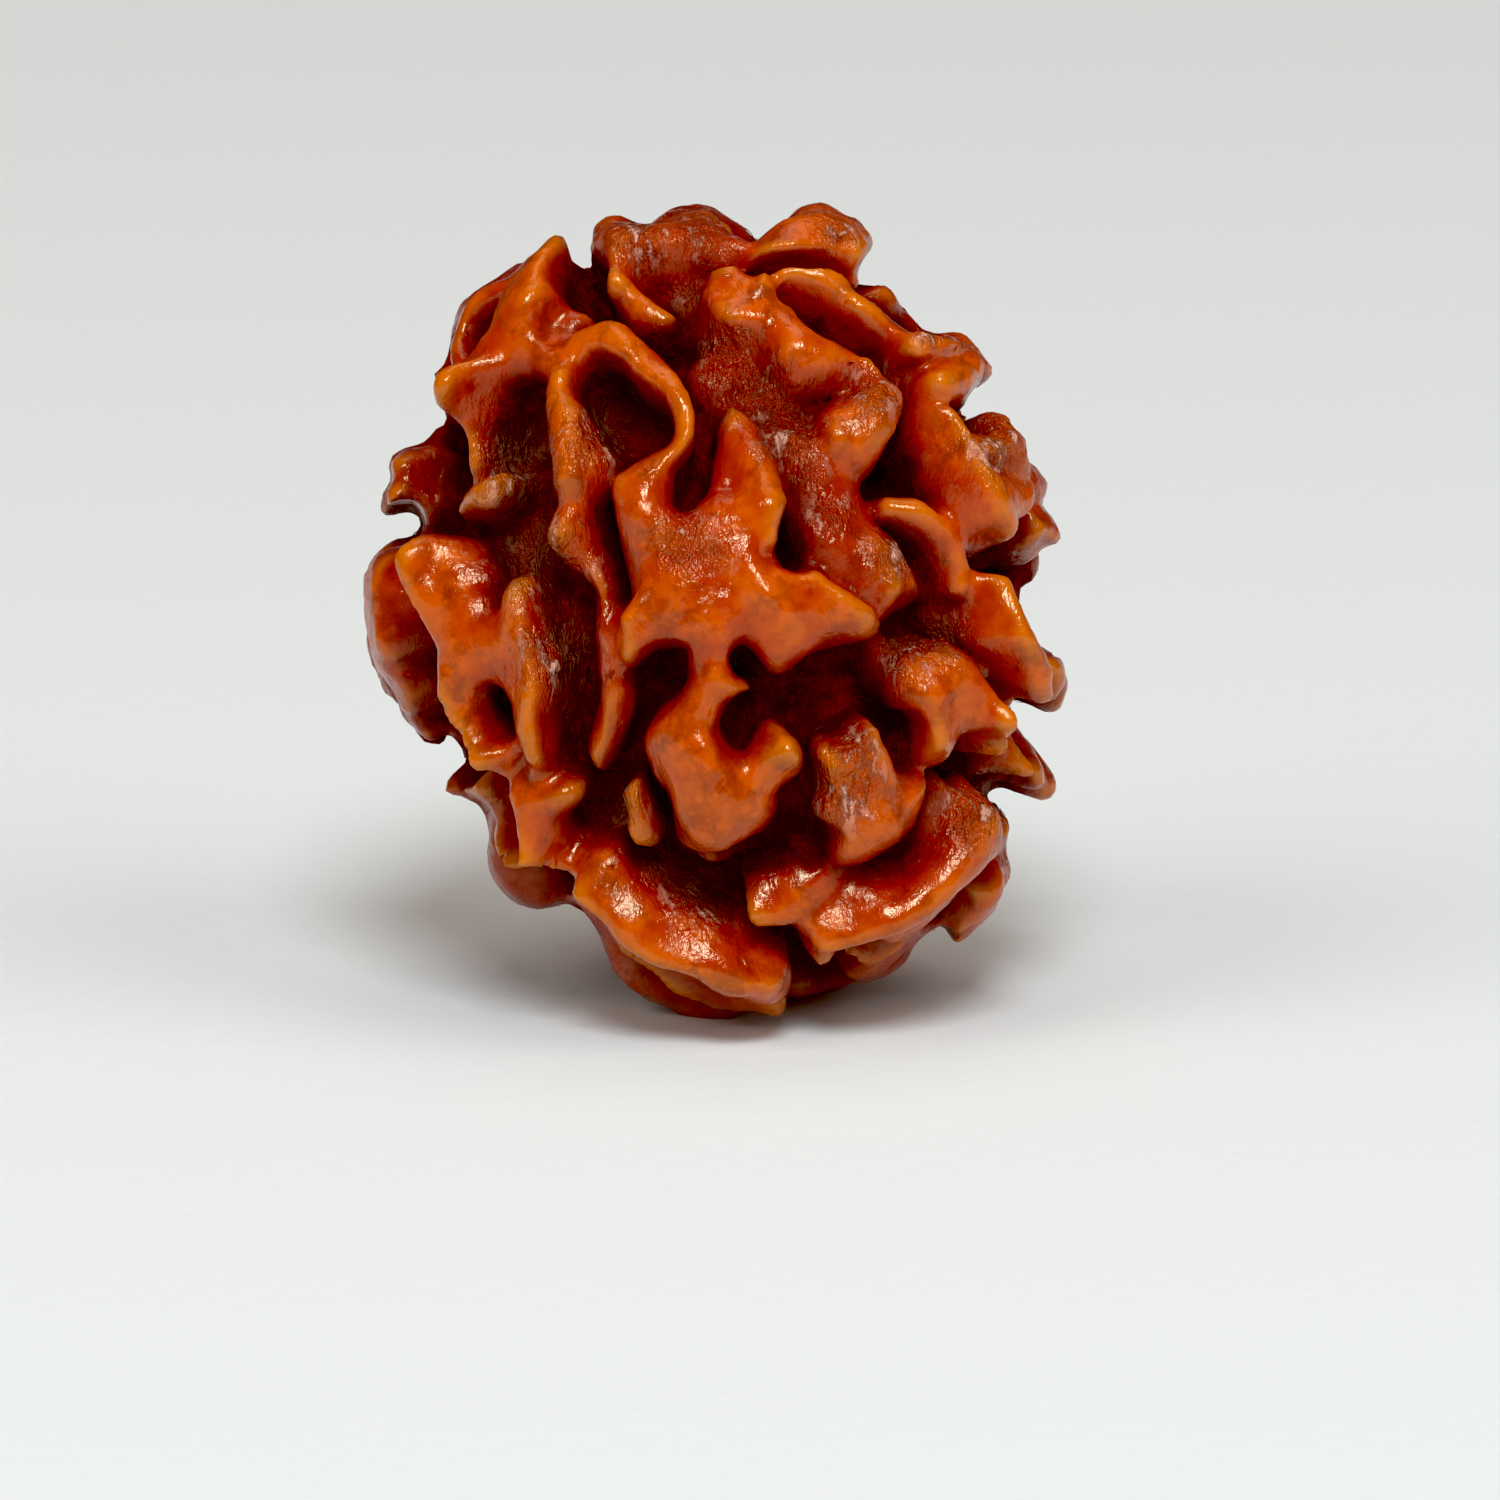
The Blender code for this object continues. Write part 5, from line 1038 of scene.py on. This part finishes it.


# Waxed seed stone: rubbed orange on the crests, darker red-brown on the flanks and near-black maroon in the pits,
# partly real stain and partly painted shade, with pale painted highlights on the rough patches, under a thin wax that
# gives small sharp highlights over a broad sheen.
def waxed_seed_stone():
    material = bpy.data.materials.new("waxed seed stone")
    material.use_nodes = True
    tree = material.node_tree
    tree.nodes.clear()
    place = add_node(tree, "ShaderNodeTexCoord").outputs["Object"]

    def value(name):
        return add_node(tree, "ShaderNodeAttribute", attribute_name=name).outputs["Fac"]

    def math_of(operation, a, b=0.0, c=0.0):
        return add_node(tree, "ShaderNodeMath", {0: a, 1: b, 2: c}, operation=operation).outputs[0]

    def span(source, low, high, to_low=0.0, to_high=1.0):
        return add_node(tree, "ShaderNodeMapRange", {
            "Value": source, "From Min": low, "From Max": high, "To Min": to_low, "To Max": to_high,
        }, interpolation_type="SMOOTHSTEP").outputs[0]

    def noise(size_mm, detail=3.0, roughness=0.55, vector=place):
        return add_node(tree, "ShaderNodeTexNoise", {
            "Vector": vector, "Scale": 1000.0 / size_mm, "Detail": detail, "Roughness": roughness}).outputs[0]

    def mix(share, a, b):
        node = add_node(tree, "ShaderNodeMix", data_type="RGBA")
        for index, item in ((0, share), (6, a), (7, b)):
            if isinstance(item, bpy.types.NodeSocket):
                tree.links.new(item, node.inputs[index])
            else:
                node.inputs[index].default_value = item
        return node.outputs[2]

    height, opened, edge, facing = (value(name) for name in ("height", "open", "edge", "facing"))
    rough, stain_and_shade = value("rough"), value("stain_and_shade")
    cloud, mottle, grain, speck = noise(2.6), noise(0.9), noise(0.28, 4.0, 0.7), noise(0.13, 2.0, 0.6)

    # Partly real stain, rubbed off the crests and kept in the low ground, and partly painted shade: enclosed hollows,
    # low ground, walls that turn from the core and the darker patches are painted darker, high, open ground brighter.
    bright = math_of("MULTIPLY_ADD", span(opened, 0.28, 0.72), 0.55, math_of(
        "MULTIPLY", span(height, -0.2, 2.2), 0.30))
    bright = math_of("MULTIPLY_ADD", span(facing, 0.1, 0.85), 0.16, bright)
    # Low ground in the darker patches gets painted shade as well as grime.
    bright = math_of("MULTIPLY_ADD", math_of("MULTIPLY", stain_and_shade, span(height, 1.6, 0.3)), -0.34, bright)
    bright = math_of("ADD", bright, span(mottle, 0.3, 0.7, -0.11, 0.08))
    bright = math_of("ADD", bright, span(cloud, 0.25, 0.75, -0.10, 0.08))
    ramp = add_node(tree, "ShaderNodeValToRGB", {0: bright})
    stops = ((0.06, "360000"), (0.26, "5C0300"), (0.46, "820C00"), (0.62, "961800"), (0.80, "AC2E00"), (0.97, "C44C00"))
    while len(ramp.color_ramp.elements) < len(stops):
        ramp.color_ramp.elements.new(0.5)
    for element, (at, colour) in zip(ramp.color_ramp.elements, stops):
        element.position, element.color = at, linear(colour)
    colour = ramp.outputs[0]

    # Red stain that stays in patches, dark grime in the grain, and pale rubbed edges.
    stain = math_of("MULTIPLY", span(noise(1.3, 6.0, 0.7), 0.50, 0.62), 0.55)
    colour = mix(stain, colour, linear("841800"))
    vein = math_of("ABSOLUTE", math_of("SUBTRACT", noise(1.9, 5.0, 0.6), 0.5))
    vein = math_of("MULTIPLY", span(vein, 0.075, 0.0), span(cloud, 0.42, 0.58, 0.1, 0.5))
    colour = mix(vein, colour, linear("6C1000"))
    grime = math_of("MULTIPLY", span(grain, 0.53, 0.72), span(bright, 0.95, 0.2, 0.22, 0.8))
    colour = mix(grime, colour, linear("300100"))
    rubbed = math_of("MULTIPLY", span(edge, 0.60, 0.78), span(bright, 0.35, 0.7, 0.0, 0.5))
    colour = mix(rubbed, colour, linear("D07818"))

    # Loose threads in the pits, and pale glints on the rough patches, which are painted highlights laid into the
    # colour; both drawn out along the seed and thicker than the real ones so that they show.
    drawn = add_node(tree, "ShaderNodeMapping", {
        "Vector": place, "Rotation": (0.0, 0.42, 0.0), "Scale": (1.0, 1.0, 0.42)}).outputs[0]
    deep = span(bright, 0.52, 0.26)
    level = math_of("ABSOLUTE", math_of("SUBTRACT", noise(0.6, 3.0, 0.6, drawn), 0.5))
    thread = math_of("MULTIPLY", span(level, 0.030, 0.006), math_of("MULTIPLY", deep, span(cloud, 0.4, 0.6)))
    colour = mix(math_of("MULTIPLY", thread, 0.6), colour, linear("701A06"))
    colour = mix(math_of("MULTIPLY", rough, 0.30), colour, linear("7A1400"))
    # Pale painted highlights on the rough patches.
    glint = math_of("MULTIPLY", span(noise(0.6, 6.0, 0.74, drawn), 0.54, 0.60), math_of(
        "MULTIPLY", rough, span(bright, 0.2, 0.55, 0.2, 1.0)))
    colour = mix(math_of("MULTIPLY", glint, 0.8), colour, linear("F0B49C"))
    crumple = math_of("ABSOLUTE", math_of("SUBTRACT", noise(0.5, 4.0, 0.6, drawn), 0.5))
    gloss = math_of("ADD", span(mottle, 0.3, 0.7, 0.16, 0.28), math_of("MULTIPLY", deep, 0.3))
    shine = math_of("MAXIMUM", span(bright, 0.3, 0.7, 0.02, 0.85), math_of("MULTIPLY", rough, 0.95))
    skin = math_of("MULTIPLY", crumple, math_of("MULTIPLY_ADD", rough, 9.0, 0.7))
    skin = math_of("MULTIPLY_ADD", grain, math_of("MULTIPLY_ADD", deep, 0.9, 0.14), skin)
    skin = math_of("MULTIPLY_ADD", math_of("ADD", thread, glint), 0.7, skin)
    bumped = add_node(tree, "ShaderNodeBump", {
        "Strength": 1.0, "Distance": 0.00010, "Height": skin}).outputs[0]
    shader = add_node(tree, "ShaderNodeBsdfPrincipled", {
        "Base Color": colour, "Roughness": gloss, "Normal": bumped, "IOR": 1.5, "Specular IOR Level": shine,
        "Specular Tint": linear("FFEEC4")}).outputs[0]
    add_node(tree, "ShaderNodeOutputMaterial", {"Surface": shader})
    return material


# Dry fibre: a matt red-brown strand that catches a little light in the dark pits.
def dry_fibre():
    material = bpy.data.materials.new("dry seed fibre")
    material.use_nodes = True
    tree = material.node_tree
    tree.nodes.clear()
    shader = add_node(tree, "ShaderNodeBsdfPrincipled", {
        "Base Color": linear("641606"), "Roughness": 0.45, "IOR": 1.5, "Specular IOR Level": 0.5}).outputs[0]
    add_node(tree, "ShaderNodeOutputMaterial", {"Surface": shader})
    return material


# Loose fibres: short bent strands that lie in the darkened hollows, drawn thicker than the real ones.
def loose_fibre_tree():
    tree = bpy.data.node_groups.new("loose fibres", "GeometryNodeTree")
    face = tree.interface
    face.new_socket("Geometry", in_out="INPUT", socket_type="NodeSocketGeometry")
    for name in ("Density", "Length", "Radius"):
        face.new_socket(name, in_out="INPUT", socket_type="NodeSocketFloat")
    face.new_socket("Seed", in_out="INPUT", socket_type="NodeSocketInt")
    face.new_socket("Material", in_out="INPUT", socket_type="NodeSocketMaterial")
    face.new_socket("Geometry", in_out="OUTPUT", socket_type="NodeSocketGeometry")
    given = add_node(tree, "NodeGroupInput").outputs
    hollow = add_node(tree, "GeometryNodeInputNamedAttribute", {"Name": "hollow"}, data_type="FLOAT").outputs[0]
    density = add_node(tree, "ShaderNodeMath", {0: hollow, 1: given["Density"]}, operation="MULTIPLY").outputs[0]
    spread = add_node(tree, "GeometryNodeDistributePointsOnFaces", {
        "Mesh": given["Geometry"], "Density": density, "Seed": given["Seed"]})
    reach = {}
    for name, share in (("half", 0.5), ("arch", 0.16), ("bend", 0.35), ("sink", -0.04)):
        reach[name] = add_node(tree, "ShaderNodeMath", {
            0: given["Length"], 1: share}, operation="MULTIPLY").outputs[0]
    less = add_node(tree, "ShaderNodeMath", {0: 0.0, 1: reach["half"]}, operation="SUBTRACT").outputs[0]
    ends = [add_node(tree, "ShaderNodeCombineXYZ", {0: x, 1: y, 2: z}).outputs[0] for x, y, z in (
        (less, 0.0, reach["sink"]), (0.0, reach["bend"], reach["arch"]), (reach["half"], 0.0, reach["sink"]))]
    strand = add_node(tree, "GeometryNodeCurveQuadraticBezier", {
        "Resolution": 5, "Start": ends[0], "Middle": ends[1], "End": ends[2]}).outputs[0]
    ring = add_node(tree, "GeometryNodeCurvePrimitiveCircle", {
        "Resolution": 3, "Radius": given["Radius"]}, mode="RADIUS").outputs[0]
    tube = add_node(tree, "GeometryNodeCurveToMesh", {
        "Curve": strand, "Profile Curve": ring, "Fill Caps": True}).outputs[0]
    spin = add_node(tree, "FunctionNodeRandomValue", {
        "Min": (-0.25, -0.25, 0.0), "Max": (0.25, 0.25, 6.283), "Seed": given["Seed"]},
        data_type="FLOAT_VECTOR").outputs[0]
    turned = add_node(tree, "FunctionNodeRotateRotation", {
        "Rotation": spread.outputs["Rotation"], "Rotate By": spin}, rotation_space="LOCAL").outputs[0]
    size = add_node(tree, "FunctionNodeRandomValue", {
        "Min": (0.4, 0.4, 0.4), "Max": (1.4, 1.4, 1.4), "Seed": given["Seed"]}, data_type="FLOAT_VECTOR").outputs[0]
    laid = add_node(tree, "GeometryNodeInstanceOnPoints", {
        "Points": spread.outputs["Points"], "Instance": tube, "Rotation": turned, "Scale": size}).outputs[0]
    real = add_node(tree, "GeometryNodeRealizeInstances", {"Geometry": laid}).outputs[0]
    dressed = add_node(tree, "GeometryNodeSetMaterial", {
        "Geometry": real, "Material": given["Material"]}).outputs[0]
    add_node(tree, "NodeGroupOutput", {"Geometry": dressed})
    return tree


# A mesh put through a tree of geometry nodes, with the tree's inputs given by name.
def grown(mesh, tree, given, name):
    item = bpy.data.objects.new("growing", mesh)
    bpy.context.scene.collection.objects.link(item)
    rule = item.modifiers.new("rule", "NODES")
    rule.node_group = tree
    for socket in tree.interface.items_tree:
        if socket.in_out == "INPUT" and socket.name in given:
            rule[socket.identifier] = given[socket.name]
    finished = finished_mesh(item)
    bpy.data.objects.remove(item, do_unlink=True)
    finished.name = name
    piece = bpy.data.objects.new(name, finished)
    bpy.context.scene.collection.objects.link(piece)
    return piece


def fine_seed():
    relief = sculpt(FINE_STEP)
    points, faces = cut_surface(relief.field, relief.low, relief.step)
    mesh = thin_out(make_mesh("rough_seed", points, faces), FINE_TRIANGLES)
    keep_values(mesh, skin_values(mesh, relief))
    placed = plan_to_world(vertex_array(mesh)) * MM
    middle = (placed.min(axis=0) + placed.max(axis=0)) * 0.5
    shift = np.array((seed_low + seed_high) * 0.5)[:2] - middle[:2]
    placed[:, :2] += shift
    mesh.vertices.foreach_set("co", placed.ravel())
    mesh.update()
    level_feet(mesh)
    mesh.shade_smooth()
    seed = grown(mesh, fibre_relief_tree(), {
        "Lump Size": 0.0016, "Lump Depth": 0.00060, "Fibre Size": 0.00050, "Fibre Depth": 0.00050,
        "Material": waxed_seed_stone()}, "seed_skin")
    fibres = grown(seed.data, loose_fibre_tree(), {
        "Density": FIBRE_DENSITY * 1e6, "Length": FIBRE_LENGTH * MM, "Radius": FIBRE_RADIUS * MM, "Seed": 5,
        "Material": dry_fibre()}, "pit_fibres")
    return (seed, fibres), shift


# White paper: a matt, faintly mottled sheet under and behind the seed.
def white_paper():
    material = bpy.data.materials.new("uncoated white paper")
    material.use_nodes = True
    tree = material.node_tree
    tree.nodes.clear()
    place = add_node(tree, "ShaderNodeTexCoord").outputs["Object"]
    tooth = add_node(tree, "ShaderNodeTexNoise", {"Vector": place, "Scale": 1500.0, "Detail": 3.0}).outputs[0]
    bumped = add_node(tree, "ShaderNodeBump", {"Strength": 0.25, "Distance": 0.0001, "Height": tooth}).outputs[0]
    shader = add_node(tree, "ShaderNodeBsdfPrincipled", {
        "Base Color": linear("E8ECEA"), "Roughness": 0.9, "Normal": bumped,
        "Specular IOR Level": 0.2}).outputs[0]
    add_node(tree, "ShaderNodeOutputMaterial", {"Surface": shader})
    return material


def paper_sheet():
    mesh = bpy.data.meshes.new("paper")
    half = 2.0
    mesh.from_pydata([(-half, -half, 0), (half, -half, 0), (half, half, 0), (-half, half, 0)], [], [(0, 1, 2, 3)])
    mesh.materials.append(white_paper())
    sheet = bpy.data.objects.new("paper", mesh)
    bpy.context.scene.collection.objects.link(sheet)


# A lamp of a given width and brightness that looks at the seed from a bearing and a rise, in degrees.
def soft_lamp(name, bearing, rise, distance, width, brightness, colour, glints=True):
    light = bpy.data.lights.new(name, "AREA")
    light.shape, light.size, light.color = "DISK", width, linear(colour)[:3]
    light.energy = brightness * (math.pi * width / 2) ** 2
    lamp = bpy.data.objects.new(name, light)
    bpy.context.scene.collection.objects.link(lamp)
    turn, lift = math.radians(bearing), math.radians(rise)
    way = Vector((math.sin(turn) * math.cos(lift), -math.cos(turn) * math.cos(lift), math.sin(lift)))
    lamp.location = Vector((0.0, 0.0, 0.011)) + way * distance
    lamp.rotation_euler = way.to_track_quat("Z", "Y").to_euler()
    lamp.visible_glossy = glints


def room_light(colour, strength):
    world = bpy.data.worlds.new("room")
    world.use_nodes = True
    shade = world.node_tree.nodes["Background"]
    shade.inputs["Color"].default_value = linear(colour)
    shade.inputs["Strength"].default_value = strength
    bpy.context.scene.world = world


# The photo's camera: level with the plan, so that one plan unit is one pixel of 1500.
def plan_camera(shift):
    tilt = math.radians(PLAN_TILT_DEG)
    right, up = Vector((1.0, 0.0, 0.0)), Vector((0.0, math.sin(tilt), math.cos(tilt)))
    out = right.cross(up)
    distance, frame_side, sensor = 0.5, 1500 * PLAN_UNIT * MM, 36.0
    lens = bpy.data.cameras.new("camera")
    lens.sensor_width = sensor
    lens.lens = sensor * distance / frame_side
    lens.clip_start = 0.01
    middle = Vector((shift[0], shift[1], CENTRE_HEIGHT * MM))
    aside = (750.0 - PLAN_CENTRE[0]) * PLAN_UNIT * MM
    above = (PLAN_CENTRE[1] - 750.0) * PLAN_UNIT * MM
    camera = bpy.data.objects.new("camera", lens)
    bpy.context.scene.collection.objects.link(camera)
    turn = Matrix((right, up, out)).transposed().to_4x4()
    camera.matrix_world = Matrix.Translation(middle + right * aside + up * above + out * distance) @ turn
    bpy.context.scene.camera = camera


pieces, shift = fine_seed()
for piece in pieces:
    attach(piece, "root")
    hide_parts("rudraksha_seed")
paper_sheet()
soft_lamp("window", 3.0, 46.0, 1.0, 0.36, 24.1, "EEF5FA")
soft_lamp("right screen", 58.0, 38.0, 1.0, 0.80, 2.1, "FAF6F2", glints=False)
soft_lamp("left screen", -54.0, 38.0, 1.0, 0.80, 2.1, "FAF6F2", glints=False)
soft_lamp("ceiling", 180.0, 78.0, 1.2, 0.8, 1.5, "FFF0E8")
room_light("FFF0EA", 0.08)
plan_camera(shift)
view = bpy.context.scene.view_settings
view.view_transform = "Standard"
view.use_curve_mapping = True
view.curve_mapping.black_level = BLACK_LEVEL
view.curve_mapping.update()
